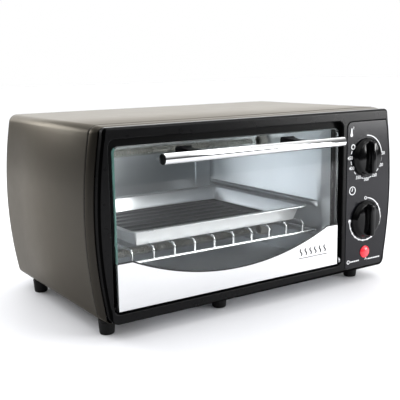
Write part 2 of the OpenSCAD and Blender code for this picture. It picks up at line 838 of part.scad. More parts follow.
// Knob: a flared skirt, a shallow drum and a grip bar that stands upright at rest
module knob(z) {
    y0 = -knob_gap;
    drum_r = knob_r - 2.7;
    color("#0c0c0e") placed() difference() {
        union() {
            cone_y(y0 - 2.4, y0, dial_x, z, knob_r - 0.5, knob_r);
            cone_y(y0 - 5.6, y0 - 2.4, dial_x, z, drum_r, knob_r - 1.4);
            intersection() {
                rod_y(-knob_h, y0 - 5, dial_x, z, drum_r);
                box([dial_x - 4, -knob_h - past, z - 30], [dial_x + 4, y0 - 4, z + 30]);
            }
        }
        rod_y(-knob_h + 2.4, y0 + past, dial_x, z, shaft_r + 0.05);
    }
}

module shaft(z) {
    color("#c7b27a") placed() rod_y(-knob_h + 2.6, 19.5, dial_x, z, shaft_r);
}

module temperature_knob() { knob(temperature_z); }
module temperature_shaft() { shaft(temperature_z); }
module timer_knob() { knob(timer_z); }
module timer_shaft() { shaft(timer_z); }

// ---------------------------------------------------------------- rack and tray

// Cross wires, the thicker side wires that ride on the ledges, and a support under the deck's middle
module rack_frame() {
    support_z = rack_top - 2 * rack_wire_r - 0.02;
    color("#d0d3d5") placed() {
        union() {
            for (y = [rack_front, rack_back])
                rod_x(cavity_mid - rack_side_x, cavity_mid + rack_side_x, y, rack_z, rack_cross_r);
            for (s = [-1, 1])
                rod_y(rack_front - 2, rack_back + 2, cavity_mid + s * rack_side_x, rack_z, rack_side_r);
        }
        rod_x(cavity_mid - rack_side_x + 16, cavity_mid + rack_side_x - 16, (rack_front + rack_back) / 2,
            support_z, rack_wire_r);
    }
}

// Long wire: up from the front cross wire, back over the top, and down to the rear cross wire
module long_wire(x) {
    z1 = rack_top - rack_bend;
    rod_y(rack_front + rack_bend, rack_back - rack_bend, x, rack_top, rack_wire_r);
    for (y = [rack_front, rack_back])
        translate([x, y, rack_z]) cylinder(h = z1 - rack_z, r = rack_wire_r, $fn = 24);
    translate([x, rack_front + rack_bend, z1]) rotate([90, 0, -90])
        rotate_extrude(angle = 90, $fn = 48) translate([rack_bend, 0]) circle(r = rack_wire_r, $fn = 24);
    translate([x, rack_back - rack_bend, z1]) rotate([90, 0, 90])
        rotate_extrude(angle = 90, $fn = 48) translate([rack_bend, 0]) circle(r = rack_wire_r, $fn = 24);
}

// Ten long wires whose feet saddle the cross wires
module rack_wires() {
    color("#d0d3d5") placed() for (i = [0:rack_wire_count - 1]) {
        x = cavity_mid + (i - (rack_wire_count - 1) / 2) * rack_pitch;
        difference() {
            long_wire(x);
            for (y = [rack_front, rack_back]) rod_x(x - 3, x + 3, y, rack_z, rack_cross_r + 0.01);
        }
    }
}

// Tray's flat outline at a given distance inside the rim's edge
module tray_outline(inset) {
    round_rect(cavity_mid - tray_w / 2 + inset, tray_front + inset, cavity_mid + tray_w / 2 - inset,
        tray_back - inset, tray_r - inset / 2);
}

module tray_bowl(grow, lift, over) {
    hull() {
        translate([0, 0, tray_z + lift]) linear_extrude(0.01) tray_outline(tray_rim + tray_taper + grow);
        translate([0, 0, tray_z + tray_h + over]) linear_extrude(0.01) tray_outline(tray_rim + grow);
    }
}

module baking_tray() {
    color("#c8cbcd") placed() difference() {
        union() {
            tray_bowl(0, 0, -tray_t);
            translate([0, 0, tray_z + tray_h - tray_t]) linear_extrude(tray_t) tray_outline(0);
        }
        tray_bowl(tray_t, tray_t, 0.3);
    }
}

housing_wrap();
base_plate();
back_cover();
back_cover_screws();
foot_front_left();
foot_front_right();
foot_rear_left();
foot_rear_right();
foot_front_middle();
foot_screws();
front_bezel();
control_panel();
cavity_front_frame();
front_frame_screws();
cavity_left_wall();
cavity_right_wall();
cavity_roof();
cavity_floor();
cavity_back_wall();
heat_shield();
upper_heater_tube();
upper_heater_coil();
upper_heater_caps();
lower_heater_tube();
lower_heater_coil();
lower_heater_caps();
thermostat_body();
timer_body();
timer_bell();
pilot_lamp_lens();
pilot_lamp_bulb();
pilot_lamp_holder();
terminal_block();
internal_wires();
cord_gland();
door_glass();
door_silver_band();
door_bottom_rail();
hinge_pin_left();
hinge_pin_right();
door_spring();
handle_bar();
handle_end_caps();
handle_bracket_left();
handle_bracket_right();
handle_screws();
temperature_knob();
temperature_shaft();
timer_knob();
timer_shaft();
rack_frame();
rack_wires();
baking_tray();
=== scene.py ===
"""Looks of a countertop toaster oven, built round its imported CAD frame.

+Z up, the door on the -Y side. Shapes are worked out in millimetres, and Build.ring() makes them the frame's
metres. Places come from the frame's own boxes. A "depth" is measured back from the bezel's face, so a point
is (x, depth, z) until at() puts it in the frame.
"""

import json
import math

import bmesh
import bpy
from mathutils import Euler, Matrix, Vector


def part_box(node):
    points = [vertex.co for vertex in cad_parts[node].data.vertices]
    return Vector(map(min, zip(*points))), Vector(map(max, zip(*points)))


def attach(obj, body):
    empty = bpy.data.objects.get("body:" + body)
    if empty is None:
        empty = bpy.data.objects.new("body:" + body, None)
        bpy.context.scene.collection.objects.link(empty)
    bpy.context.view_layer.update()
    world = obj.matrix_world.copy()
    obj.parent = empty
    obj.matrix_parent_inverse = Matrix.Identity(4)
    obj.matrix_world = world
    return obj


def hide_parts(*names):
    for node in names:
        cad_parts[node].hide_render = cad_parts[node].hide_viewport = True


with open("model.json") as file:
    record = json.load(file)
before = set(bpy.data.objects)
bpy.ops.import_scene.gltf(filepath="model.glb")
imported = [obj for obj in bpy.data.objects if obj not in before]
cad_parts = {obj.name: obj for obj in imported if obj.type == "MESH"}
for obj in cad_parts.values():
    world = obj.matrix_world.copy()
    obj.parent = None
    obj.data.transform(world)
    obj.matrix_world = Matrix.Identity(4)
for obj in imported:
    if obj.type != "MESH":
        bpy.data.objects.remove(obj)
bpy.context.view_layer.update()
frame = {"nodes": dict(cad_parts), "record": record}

MM = 0.001

# ---------------- places taken from the frame


def box(node):
    """Corners of a CAD node, in millimetres."""
    return [Vector(corner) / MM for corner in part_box(node)]


def middle(node):
    """Centre and half size of a CAD node, in millimetres."""
    lo, hi = box(node)
    return (lo + hi) / 2, (hi - lo) / 2


wrap_lo, wrap_hi = box("housing_wrap")
bezel_lo, bezel_hi = box("front_bezel")
panel_lo, panel_hi = box("control_panel")
glass_lo, glass_hi = box("door_glass")
band_lo, band_hi = box("door_silver_band")
bar_lo, bar_hi = box("handle_bar")
left_wall_lo = box("cavity_left_wall")[0]
right_wall_hi = box("cavity_right_wall")[1]
back_wall_lo, back_wall_hi = box("cavity_back_wall")
rack_lo, rack_hi = box("rack_frame")
RACK_TOP = box("rack_wires")[1].z
tray_lo, tray_hi = box("baking_tray")
frame_lo, frame_hi = box("cavity_front_frame")
COVER_BACK = box("back_cover")[1].y

FRONT = bezel_lo.y
SIDE_RADIUS = 430
BOW_HEIGHT = 105
TOP_RADIUS = 9
BOTTOM_RADIUS = 9
SHEET = 0.8


def at(x, depth, z):
    """Point of the frame, from its depth behind the bezel's face."""
    return Vector((x, FRONT + depth, z))


def depth_of(y):
    return y - FRONT


def centre_of(polygon):
    return polygon.center / MM


FLOOR_Z = box("cavity_floor")[1].z
ROOF_Z = box("cavity_roof")[0].z
FLARE = 4
CAVITY_LEFT = left_wall_lo.x + FLARE + SHEET
CAVITY_RIGHT = right_wall_hi.x - FLARE - SHEET
CAVITY_BACK = depth_of(back_wall_lo.y)
CAVITY_FRONT = depth_of(left_wall_lo.y)
FOLD = 23
LEDGE_HEIGHTS = (60.05, 92.5)
LEDGE_WIDTH = 7.6


def quarter(steps, first=0):
    """Sine and cosine through a quarter turn."""
    return [(math.sin(a), math.cos(a)) for a in (math.pi / 2 * i / steps for i in range(first, steps + 1))]


# ---------------- outlines in (x, z)


def on_circle(x, z, radius, angle):
    """Point of a circle, from an angle in degrees."""
    a = math.radians(angle)
    return x + radius * math.cos(a), z + radius * math.sin(a)


def arc(x, z, radius, start, end, steps):
    """Points of an arc, ends included."""
    return [on_circle(x, z, radius, start + (end - start) * i / steps) for i in range(steps + 1)]


def body_half(inset, drop=0.0, rise=0.0, low_radius=BOTTOM_RADIUS):
    """Right half of the body's outline from its foot, let down by drop, to its top, raised by rise."""
    centre = wrap_hi.x - SIDE_RADIUS
    top_z = wrap_hi.z - TOP_RADIUS
    low_z = wrap_lo.z + low_radius
    top_x = centre + math.sqrt((SIDE_RADIUS - TOP_RADIUS) ** 2 - (top_z - BOW_HEIGHT) ** 2)
    low_x = centre + math.sqrt((SIDE_RADIUS - low_radius) ** 2 - (low_z - BOW_HEIGHT) ** 2)
    top_angle = math.degrees(math.atan2(top_z - BOW_HEIGHT, top_x - centre))
    low_angle = math.degrees(math.atan2(low_z - BOW_HEIGHT, low_x - centre))
    low = arc(low_x, low_z - drop, low_radius - inset, -90, low_angle, 10)
    side = arc(centre, BOW_HEIGHT, SIDE_RADIUS - inset, low_angle, top_angle, 36)
    top = arc(top_x, top_z + rise, TOP_RADIUS - inset, top_angle, 90, 10)
    return low + side[1:-1] + top


def mirrored(half):
    return half + [(-x, z) for x, z in reversed(half)]


def body_outline(inset, drop=0.0, rise=0.0, low_radius=BOTTOM_RADIUS):
    return mirrored(body_half(inset, drop, rise, low_radius))


def side_at(z, inset=0.0):
    """Half width of the body at a height."""
    return wrap_hi.x - SIDE_RADIUS + math.sqrt((SIDE_RADIUS - inset) ** 2 - (z - BOW_HEIGHT) ** 2)


def bend(before, here, after, radius, steps):
    """Arc that rounds the corner at here."""
    a = (before - here).normalized()
    b = (after - here).normalized()
    half = a.angle(b) / 2
    centre = here + (a + b).normalized() * radius / math.sin(half)
    start = here + a * radius / math.tan(half) - centre
    end = here + b * radius / math.tan(half) - centre
    return [centre + start.slerp(end, k / steps).normalized() * radius for k in range(steps + 1)]


def fillet(corners, steps=8):
    """Outline of (x, z, radius) corners with each corner rounded by an arc."""
    places = [Vector(corner[:2]) for corner in corners]
    points = []
    for i, corner in enumerate(corners):
        points += bend(places[i - 1], places[i], places[(i + 1) % len(places)], corner[2], steps)
    return [tuple(p) for p in points]


def box_outline(x0, z0, x1, z1, radius, steps=8):
    return fillet([(x0, z0, radius), (x1, z0, radius), (x1, z1, radius), (x0, z1, radius)], steps)


def inset(points, distance):
    """Closed counter-clockwise outline moved inwards by distance, point for point."""
    moved = []
    for i, (x, z) in enumerate(points):
        here = Vector((x, z))
        before = (here - Vector(points[i - 1])).normalized()
        after = (Vector(points[(i + 1) % len(points)]) - here).normalized()
        n0 = Vector((-before.y, before.x))
        n1 = Vector((-after.y, after.x))
        n = (n0 + n1).normalized()
        moved.append(tuple(here + n * distance / max(n.dot(n0), 0.3)))
    return moved


# ---------------- mesh building


def place_object(name, data):
    thing = bpy.data.objects.new(name, data)
    bpy.context.scene.collection.objects.link(thing)
    return thing


class Build:
    """Gathers rings of points into one mesh."""

    def __init__(self):
        self.bm = bmesh.new()

    def ring(self, points):
        return [self.bm.verts.new(p * MM) for p in points]

    def press(self, outline, steps):
        """Skin whose rings are the outline at (inset, depth) steps."""
        return self.skin([flat(inset(outline, d), y) for d, y in steps])

    def bridge(self, a, b, closed=True):
        for i in range(len(a) if closed else len(a) - 1):
            j = (i + 1) % len(a)
            self.bm.faces.new((a[i], a[j], b[j], b[i]))

    def skin(self, rings, closed=True, loop=False):
        """Joins rings one after another; loop joins the last to the first."""
        made = [self.ring(r) for r in rings]
        for a, b in zip(made, made[1:]):
            self.bridge(a, b, closed)
        if loop:
            self.bridge(made[-1], made[0], closed)
        return made

    def cap(self, ring):
        self.bm.faces.new(ring)

    def solid(self, rings):
        """Skin closed by a face at each end."""
        made = self.skin(rings)
        self.cap(made[0])
        self.cap(made[-1])

    def strip(self, rings):
        """Bent sheet: each ring is its section, open at one side, so its ends are closed by faces."""
        made = self.skin(rings, closed=False, loop=True)
        for end in (0, -1):
            self.cap([ring[end] for ring in made])

    def fill(self, *rings):
        """Flat face bounded by the first ring, with the others as holes in it."""
        edges = []
        for ring in rings:
            for i, v in enumerate(ring):
                pair = (v, ring[(i + 1) % len(ring)])
                edges.append(self.bm.edges.get(pair) or self.bm.edges.new(pair))
        bmesh.ops.triangle_fill(self.bm, use_beauty=True, edges=edges)

    def piece(self, name, materials, sharp=38):
        bmesh.ops.recalc_face_normals(self.bm, faces=self.bm.faces)
        mesh = bpy.data.meshes.new(name)
        self.bm.to_mesh(mesh)
        self.bm.free()
        for p in mesh.polygons:
            p.use_smooth = True
        mesh.set_sharp_from_angle(angle=math.radians(sharp))
        for m in materials if isinstance(materials, list) else [materials]:
            mesh.materials.append(m)
        return place_object(name, mesh)


def show(body, *rows):
    """Rides pieces on a body and hides the CAD nodes they stand for."""
    for piece, slot, *nodes in rows:
        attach(piece, body)
        if nodes:
            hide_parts(*nodes)


def flat(points, depth):
    return [at(x, depth, z) for x, z in points]


def plate(name, outline, steps, material, sharp=38):
    """Flat-faced solid whose edge follows (inset, depth) steps."""
    build = Build()
    made = build.press(outline, steps)
    build.fill(made[0])
    build.fill(made[-1])
    return build.piece(name, material, sharp)


def lathe(name, profile, centre, axis, material, steps=64):
    """Turned solid: profile is (distance along axis, radius), and ends at radius 0 are closed."""
    axis = Vector(axis).normalized()
    side = axis.orthogonal().normalized()
    other = axis.cross(side)
    build = Build()
    made = []
    for along, radius in profile:
        middle = Vector(centre) + axis * along
        if radius < 1e-7:
            made.append(build.ring([middle]))
            continue
        made.append(build.ring(circle(middle, side, other, radius, steps)))
    for a, b in zip(made, made[1:]):
        if len(a) == 1 or len(b) == 1:
            tip, ring = (a[0], b) if len(a) == 1 else (b[0], a)
            for i, v in enumerate(ring):
                build.bm.faces.new((tip, v, ring[(i + 1) % len(ring)]))
        else:
            build.bridge(a, b)
    for ring in (made[0], made[-1]):
        if len(ring) > 1:
            build.cap(ring)
    return build.piece(name, material)


def circle(middle, side, other, radius, steps):
    """Ring of points round a middle, in the plane of two unit vectors."""
    return [
        middle + (side * math.cos(a) + other * math.sin(a)) * radius
        for a in (2 * math.pi * i / steps for i in range(steps))
    ]


def add_tube(build, path, radius, sides):
    """Solid round a path, whose rings are carried along it without twist."""
    rings = []
    normal = None
    for behind, p, ahead in zip(path[:1] + path, path, path[1:] + path[-1:]):
        t = (ahead - behind).normalized()
        if normal is None:
            normal = t.orthogonal().normalized()
        normal = (normal - t * normal.dot(t)).normalized()
        rings.append(circle(p, normal, t.cross(normal), radius, sides))
    build.solid(rings)


def bend_path(corners, radius):
    """Polyline through corners, each rounded by an arc of the given radius."""
    path = [corners[0]]
    for before, here, after in zip(corners, corners[1:], corners[2:]):
        path += bend(before, here, after, radius, 6)
    return path + [corners[-1]]


def join(name, things):
    """One piece from several of the same material."""
    build = bmesh.new()
    for thing in things:
        build.from_mesh(thing.data)
    mesh = bpy.data.meshes.new(name)
    build.to_mesh(mesh)
    build.free()
    mesh.materials.append(things[0].data.materials[0])
    for thing in things:
        bpy.data.objects.remove(thing)
    return place_object(name, mesh)


# ---------------- materials


class Shade:
    """A material and short ways to add nodes to it."""

    def __init__(self, name):
        self.material = bpy.data.materials.new(name)
        self.material.use_nodes = True
        self.tree = self.material.node_tree
        self.main = self.tree.nodes["Principled BSDF"]
        self.out = self.tree.nodes["Material Output"]
        self.coords = self.node("ShaderNodeTexCoord").outputs["Object"]

    def node(self, kind, **values):
        made = self.tree.nodes.new(kind)
        for key, value in values.items():
            if hasattr(made, key):
                setattr(made, key, value)
            else:
                made.inputs[key.replace("_", " ")].default_value = value
        return made

    def link(self, a, b):
        self.tree.links.new(a, b)

    def set(self, **values):
        for key, value in values.items():
            self.main.inputs[key.replace("_", " ")].default_value = value
        return self

    def noise(self, scale, detail=4.0, stretch=(1, 1, 1)):
        mapping = self.node("ShaderNodeMapping")
        mapping.inputs["Scale"].default_value = stretch
        self.link(self.coords, mapping.inputs["Vector"])
        made = self.node("ShaderNodeTexNoise", Scale=scale, Detail=detail, Roughness=0.55)
        self.link(mapping.outputs[0], made.inputs["Vector"])
        return made.outputs["Fac"]

    def cells(self, scale):
        made = self.node("ShaderNodeTexVoronoi", Scale=scale)
        self.link(self.coords, made.inputs["Vector"])
        return made.outputs["Color"]

    def ramp(self, source, stops):
        made = self.node("ShaderNodeValToRGB")
        band = made.color_ramp
        while len(band.elements) < len(stops):
            band.elements.new(0.5)
        for element, (place, colour) in zip(band.elements, stops):
            element.position = place
            element.color = (*colour, 1)
        self.link(source, made.inputs["Fac"])
        return made.outputs["Color"]

    def span(self, source, low, high):
        """Maps 0..1 of source to low..high."""
        made = self.node("ShaderNodeMapRange")
        made.inputs["To Min"].default_value = low
        made.inputs["To Max"].default_value = high
        self.link(source, made.inputs["Value"])
        return made.outputs["Result"]

    def colour(self, source, stops):
        self.link(self.ramp(source, stops), self.main.inputs["Base Color"])
        return self

    def rough(self, source, low, high):
        self.link(self.span(source, low, high), self.main.inputs["Roughness"])
        return self

    def bump(self, source, height, strength):
        made = self.node("ShaderNodeBump", Strength=strength, Distance=height)
        self.link(source, made.inputs["Height"])
        self.link(made.outputs["Normal"], self.main.inputs["Normal"])
        return self

    def blend(self, share, first, second):
        """Shows the first shader where share is 0 and the second where it is 1."""
        mix = self.node("ShaderNodeMixShader")
        for source, socket in zip((share, first.outputs[0], second.outputs[0]), mix.inputs):
            self.link(source, socket)
        self.link(mix.outputs[0], self.out.inputs["Surface"])
        return self.material


def tones(colour, spread):
    """Dark, middle and light stops round a colour."""
    return [
        (0.5 + 0.25 * side, tuple(min(1, c * (1 + side * spread)) for c in colour))
        for side in (-1, 0, 1)
    ]


def surface(name, colour, spread, tint, rough, bump=None, **values):
    """Mottled colour, uneven gloss and a fine relief.

    tint is the noise of the colour. rough and bump are a noise, then what it drives: the lowest and highest
    roughness, and the height and strength. A noise is (scale, detail, stretch), as far as it is given, and a
    bump without one follows the roughness.
    """
    s = Shade(name).set(**values)
    s.colour(s.noise(*tint), tones(colour, spread))
    s.rough(s.noise(*rough[0]), *rough[1:])
    if bump:
        s.bump(s.noise(*(bump[0] or rough[0])), *bump[1:])
    return s.material


def metal(name, colour, spread, tint, rough, bump=None, metallic=1.0, **values):
    return surface(name, colour, spread, tint, rough, bump, Metallic=metallic, **values)


def olive_paint(name, colour):
    return metal(name, colour, 0.12, (1500, 2), ((60,), 0.31, 0.37), ((420, 2), 0.00003, 0.25), 0.9,
                 Coat_Weight=0.05, Coat_Roughness=0.2, Specular_Tint=(0.66, 0.63, 0.58, 1))


def black_plastic(name, gloss, tone):
    return surface(name, (tone, tone, tone * 1.1), 0.25, (180,), ((90,), 0.24, 0.33),
                   ((1400, 2), 0.00002, 0.25), Specular_IOR_Level=gloss)


def galvanised():
    s = Shade("galvanised_sheet").set(Metallic=0.9)
    s.colour(s.cells(140), tones((0.50, 0.515, 0.53), 0.16))
    s.rough(s.cells(140), 0.30, 0.48)
    return s.bump(s.noise(300, 3), 0.00003, 0.25).material


def wire_sleeve():
    s = Shade("braided_sleeve")
    s.colour(s.cells(2600), tones((0.55, 0.52, 0.46), 0.2))
    s.rough(s.noise(900), 0.6, 0.8)
    return s.bump(s.noise(2600, 2), 0.00005, 0.5).material


def pane(name, tint, gloss):
    """Thin clear wall: what is behind it shows unbent, and a slanting look adds what it mirrors."""
    s = Shade(name)
    clear = s.node("ShaderNodeBsdfTransparent")
    s.link(s.ramp(s.noise(30), tones(tint, 0.01)), clear.inputs["Color"])
    mirror = s.node("ShaderNodeBsdfGlossy", Roughness=0.01, Color=(gloss, gloss, gloss, 1))
    slant = s.node("ShaderNodeLayerWeight", Blend=0.5)
    power = s.node("ShaderNodeMath", operation="POWER")
    power.inputs[1].default_value = 5.0
    s.link(slant.outputs["Facing"], power.inputs[0])
    s.tree.nodes.remove(s.main)
    return s.blend(s.span(power.outputs[0], 0.04, 1.0), clear, mirror)


def glass_edge(name, tone):
    return surface(name, tone, 0.2, (160, 4, (1, 1, 0.2)), ((300,), 0.16, 0.3),
                   Transmission_Weight=0.25, IOR=1.5, Coat_Weight=0.5, Coat_Roughness=0.06)


def quartz():
    s = Shade("milky_quartz").set(Roughness=0.18, Base_Color=(0.78, 0.77, 0.73, 1))
    clear = s.node("ShaderNodeBsdfTransparent", Color=(0.93, 0.93, 0.91, 1))
    cloud = s.ramp(s.noise(110), [(0.45, (0.02, 0.02, 0.02)), (0.65, (0.2, 0.2, 0.2))])
    return s.blend(cloud, clear, s.main)


PAINT = olive_paint("olive_metallic_paint", (0.058, 0.054, 0.047))
# A darker copy of the olive paint for the drawn-in collar in front of the pressed line: painted shade where
# the collar tilts away from the light.
SHADED_COLLAR_PAINT = olive_paint("olive_paint_painted_shade_collar", (0.022, 0.020, 0.017))
# Near-black plastic for the faces of the pressed line in the wrap: a painted shadow in the groove.
GROOVE_SHADOW = black_plastic("painted_shadow_groove_line", 0.1, 0.001)
PLASTIC = black_plastic("black_moulded_plastic", 0.1, 0.0035)
# Darker, barely glossy copy of the bezel plastic for its sides and bottom edge: painted shade where the bezel
# turns away from the light.
PLASTIC_SHADED_SIDE = black_plastic("black_moulded_painted_shade_side", 0.01, 0.0008)
PANEL = surface("panel_plastic", (0.006, 0.006, 0.0085), 0.2, (220,), ((120,), 0.19, 0.25),
                ((1800, 2), 0.00002, 0.3), Specular_IOR_Level=0.2)
KNOB = surface("gloss_knob_plastic", (0.0008, 0.0008, 0.001), 0.3, (200,), ((150,), 0.08, 0.12),
               ((900, 2), 0.00001, 0.2), Specular_IOR_Level=0.18)
INK = surface("white_print", (0.80, 0.81, 0.82), 0.08, (800,), ((500,), 0.45, 0.6), Specular_IOR_Level=0.3)
LINE = surface("black_print", (0.010, 0.010, 0.011), 0.3, (400,), ((300,), 0.25, 0.4))
LINER = metal("aluminised_liner_steel", (0.60, 0.625, 0.65), 0.04, (9, 3), ((90, 4, (1, 1, 16)), 0.30, 0.38),
              (None, 0.00001, 0.15), 0.92)
FLOOR_STEEL = metal("cavity_floor_steel", (0.82, 0.83, 0.86), 0.1, (14, 6), ((48, 6, (12, 1, 1)), 0.34, 0.5),
                    (None, 0.00005, 0.3), 0.85)
GALVANISED = galvanised()
TRAY = metal("tray_aluminium", (0.74, 0.75, 0.765), 0.07, (16, 6), ((40, 6, (1, 10, 1)), 0.24, 0.36),
             (None, 0.00003, 0.3), 0.88)
# Near-black copy of the tray aluminium for the pan's inner floor: painted shade inside the pan.
TRAY_SHADED_FLOOR = metal("tray_aluminium_painted_shade_floor", (0.075, 0.077, 0.082), 0.15, (20, 6),
                   ((40, 6, (10, 1, 1)), 0.3, 0.44), (None, 0.00004, 0.3), 0.9)
CHROME = metal("polished_chrome", (0.80, 0.805, 0.815), 0.03, (30,), ((260, 4, (1, 12, 12)), 0.05, 0.10),
               ((700, 2), 0.00001, 0.1))
WIRE = metal("plated_wire", (0.85, 0.86, 0.87), 0.08, (80,), ((400,), 0.14, 0.24))
SCREW = metal("zinc_screw", (0.52, 0.53, 0.54), 0.15, (700,), ((900,), 0.22, 0.4))
MIRROR = metal("silver_band_mirror", (0.74, 0.745, 0.75), 0.02, (25, 4, (1, 1, 6)),
               ((140, 5, (1, 1, 30)), 0.07, 0.13), ((300, 2, (1, 1, 20)), 0.00001, 0.12))
RUBBER = surface("black_rubber", (0.004, 0.004, 0.004), 0.3, (300,), ((240,), 0.55, 0.75),
                 ((1200, 2), 0.00003, 0.4), Specular_IOR_Level=0.2)
ENAMEL = surface("black_frame_paint", (0.002, 0.002, 0.0022), 0.25, (220,), ((160,), 0.35, 0.5),
                 ((900, 2), 0.00002, 0.3), Specular_IOR_Level=0.06)
CERAMIC = surface("white_ceramic", (0.72, 0.70, 0.65), 0.1, (120, 6), ((300,), 0.5, 0.7),
                  ((800, 3), 0.00004, 0.4))
NYLON = surface("natural_nylon", (0.66, 0.64, 0.58), 0.07, (90,), ((400,), 0.4, 0.55), Subsurface_Weight=0.05)
SLEEVE = wire_sleeve()
BRASS = metal("turned_brass", (0.62, 0.45, 0.20), 0.1, (200,), ((300, 4, (1, 20, 1)), 0.2, 0.34))
COIL = metal("oxidised_heater_wire", (0.50, 0.47, 0.44), 0.25, (500,), ((500,), 0.35, 0.55), metallic=0.8)
LAMP = surface("red_lamp_lens", (0.78, 0.018, 0.035), 0.08, (300,), ((200,), 0.12, 0.2), Coat_Weight=0.6,
               Coat_Roughness=0.05, Emission_Color=(1.0, 0.03, 0.06, 1), Emission_Strength=0.28)
GLASS = pane("clear_door_glass", (0.975, 0.985, 0.98), 0.35)
BULB = pane("bulb_glass", (0.95, 0.86, 0.80), 0.9)
GLASS_EDGE = glass_edge("green_glass_edge", (0.14, 0.34, 0.29))
# Dark neutral copy of the glass edge for every edge but the left one above the band: painted shade on the
# same green glass.
GLASS_EDGE_SHADE = glass_edge("painted_shade_glass_edge", (0.05, 0.06, 0.06))
QUARTZ = quartz()

# ---------------- case


def housing_wrap():
    """Bent sheet: open below between its flanges, drawn in towards its front edge from a pressed line."""
    flange_x = 130
    front = depth_of(wrap_lo.y)
    back = depth_of(wrap_hi.y)
    line = front + 12.1
    press = 0.9
    drawn = 3.2
    lift = 1.4
    profile = [
        (drawn + 0.35, front, drawn), (drawn + 0.05, front + 0.15, drawn),
        (drawn * 0.96, front + 0.5, drawn * 0.96), (drawn * 0.5, (front + line) / 2, drawn * 0.5),
        (0.45, line - 1.8, 0.45), (0.5, line - 1.2, 0.3), (press * 0.85, line - 0.8, 0),
        (press, line - 0.2, 0), (press * 0.8, line + 0.5, 0), (press * 0.15, line + 1.1, 0),
        (0, line + 1.5, 0), (0, back * 0.5, 0), (0, back - 0.4, 0), (0.15, back - 0.1, 0), (0.4, back, 0),
        (SHEET, back - 0.1, 0), (SHEET, back * 0.5, 0), (press + 0.6, line, 0),
        (drawn * 0.5 + SHEET, (front + line) / 2, drawn * 0.5), (drawn + SHEET, front + 0.3, drawn),
        (drawn + 0.6, front, drawn)
    ]

    def section(d, drop, depth):
        rise = lift * max(0.0, min(1.0, (line - depth) / (line - front)))
        return mirrored([(flange_x, wrap_lo.z + d - drop)] + body_half(d, drop, rise))

    build = Build()
    build.strip([flat(section(d, drop, y), y) for d, y, drop in profile])
    wrap = build.piece("steel_wrap", [PAINT, SHADED_COLLAR_PAINT, GROOVE_SHADOW], 50)
    # Faces in front of the pressed line take the darker paint as painted shade, and the faces of the line
    # take near-black plastic as a painted shadow in the groove.
    for p in wrap.data.polygons:
        depth = depth_of(centre_of(p).y)
        if depth < line - 0.9:
            p.material_index = 1
        elif depth < line + 0.4:
            p.material_index = 2
    return wrap


def panel_outline(grow=0.0, flush=0.0):
    """Control panel: square to the door on its left, bowed like the body on its right."""
    left = panel_lo.x - grow
    low = panel_lo.z - flush
    high = panel_hi.z + grow
    d = 7.5 - flush
    corner = 4
    right = [(side_at(low + (high - low) * i / 24, d), low + (high - low) * i / 24) for i in range(25)]
    right = [p for p in right if low + corner < p[1] < high - corner]
    left_part = fillet([(left, high, 7), (left, low, 2),
                        (side_at(low, d), low, 2.4), (side_at(high, d), high, 2)])
    top_left, low_left = left_part[0:9], left_part[9:18]
    low_right, top_right = left_part[18:27], left_part[27:36]
    return low_left + low_right + right + top_right + top_left


def front_bezel():
    """Moulded frame: rounded outer edge, through recess for the door, blind pocket for the panel."""
    back = 7
    rim = 2.6
    side = 4.1
    wide = 2.4
    foot = 1.1
    rise = 2.8
    low_radius = 13
    tongue_low = 30
    outer = [(side + 0.2, back), (side, back - 0.2), (side, rim + 0.3), (side, rim)]
    outer += [(side + wide * (1 - cosine), rim * (1 - sine)) for sine, cosine in quarter(8, 1)]
    outer.append((side + wide + 0.4, 0))
    build = Build()
    made = build.skin([flat(body_outline(d, d - foot, rise, low_radius), y) for d, y in outer])
    soft = 0.9
    hole = [(-soft * 1.3, 0)]
    hole += [(-soft * (1 - sine), soft * (1 - cosine)) for sine, cosine in quarter(4)]
    hole += [(0, back * 0.6), (0, back - 0.2), (-0.2, back)]
    opening = box_outline(glass_lo.x - 4.3, glass_lo.z - 2.3, glass_hi.x + 6.5, glass_hi.z + 6.5, 7)
    door = build.press(opening, hole)
    bottom = depth_of(panel_hi.y) + 0.05
    lip = 0.35
    well = build.press(panel_outline(0.75, 0.12), (
        (-lip * 1.4, 0), (-lip, 0), (-lip * 0.3, lip * 0.3), (0, lip), (0, bottom - 0.1), (0.2, bottom)
    ))
    build.fill(made[-1], door[0], well[0])
    build.fill(made[0], door[-1])
    build.fill(well[-1])
    lip_back = depth_of(bezel_hi.y)
    outside, inside = [mirrored([p for p in body_half(d, d - foot) if p[1] > tongue_low])
                       for d in (side, side + 1.2)]
    build.strip([flat(outside, back - 0.3), flat(outside, lip_back), flat(inside, lip_back),
                 flat(inside, back - 0.3)])
    bezel = build.piece("bezel_moulding", [PLASTIC, PLASTIC_SHADED_SIDE])
    # The bezel's sides and bottom edge take the darker copy of its plastic as painted shade.
    for p in bezel.data.polygons:
        x, _, z = centre_of(p)
        if abs(x) > side_at(z, 6.2) or z < bezel_lo.z + 2:
            p.material_index = 1
    return bezel


def control_panel():
    edge, back = 0.5, depth_of(panel_hi.y)
    front = [(edge * (1 - sine), edge * (1 - cosine)) for sine, cosine in quarter(3)]
    steps = [(edge * 1.3, 0)] + front + [(d, back - y) for d, y in reversed(front)] + [(edge * 1.3, back)]
    return plate("panel_insert", panel_outline(), steps, PANEL)


def foot_piece(node):
    """Round foot with a softened lower edge, a ridge and a washer line at its top."""
    centre, half = middle(node)
    r, h = half.x, 2 * half.z
    profile = [
        (0, r - 2.6), (0, r - 2.2), (0.4, r - 1.4), (1.4, r - 1.0), (h * 0.45, r - 0.6), (h - 2.4, r - 0.25),
        (h - 2.1, r - 0.6), (h - 1.8, r - 0.05), (h - 0.4, r), (h, r - 0.4), (h, r - 1.2)
    ]
    return lathe(node + "_moulding", profile, centre - Vector((0, 0, half.z)), (0, 0, 1), RUBBER, 40)


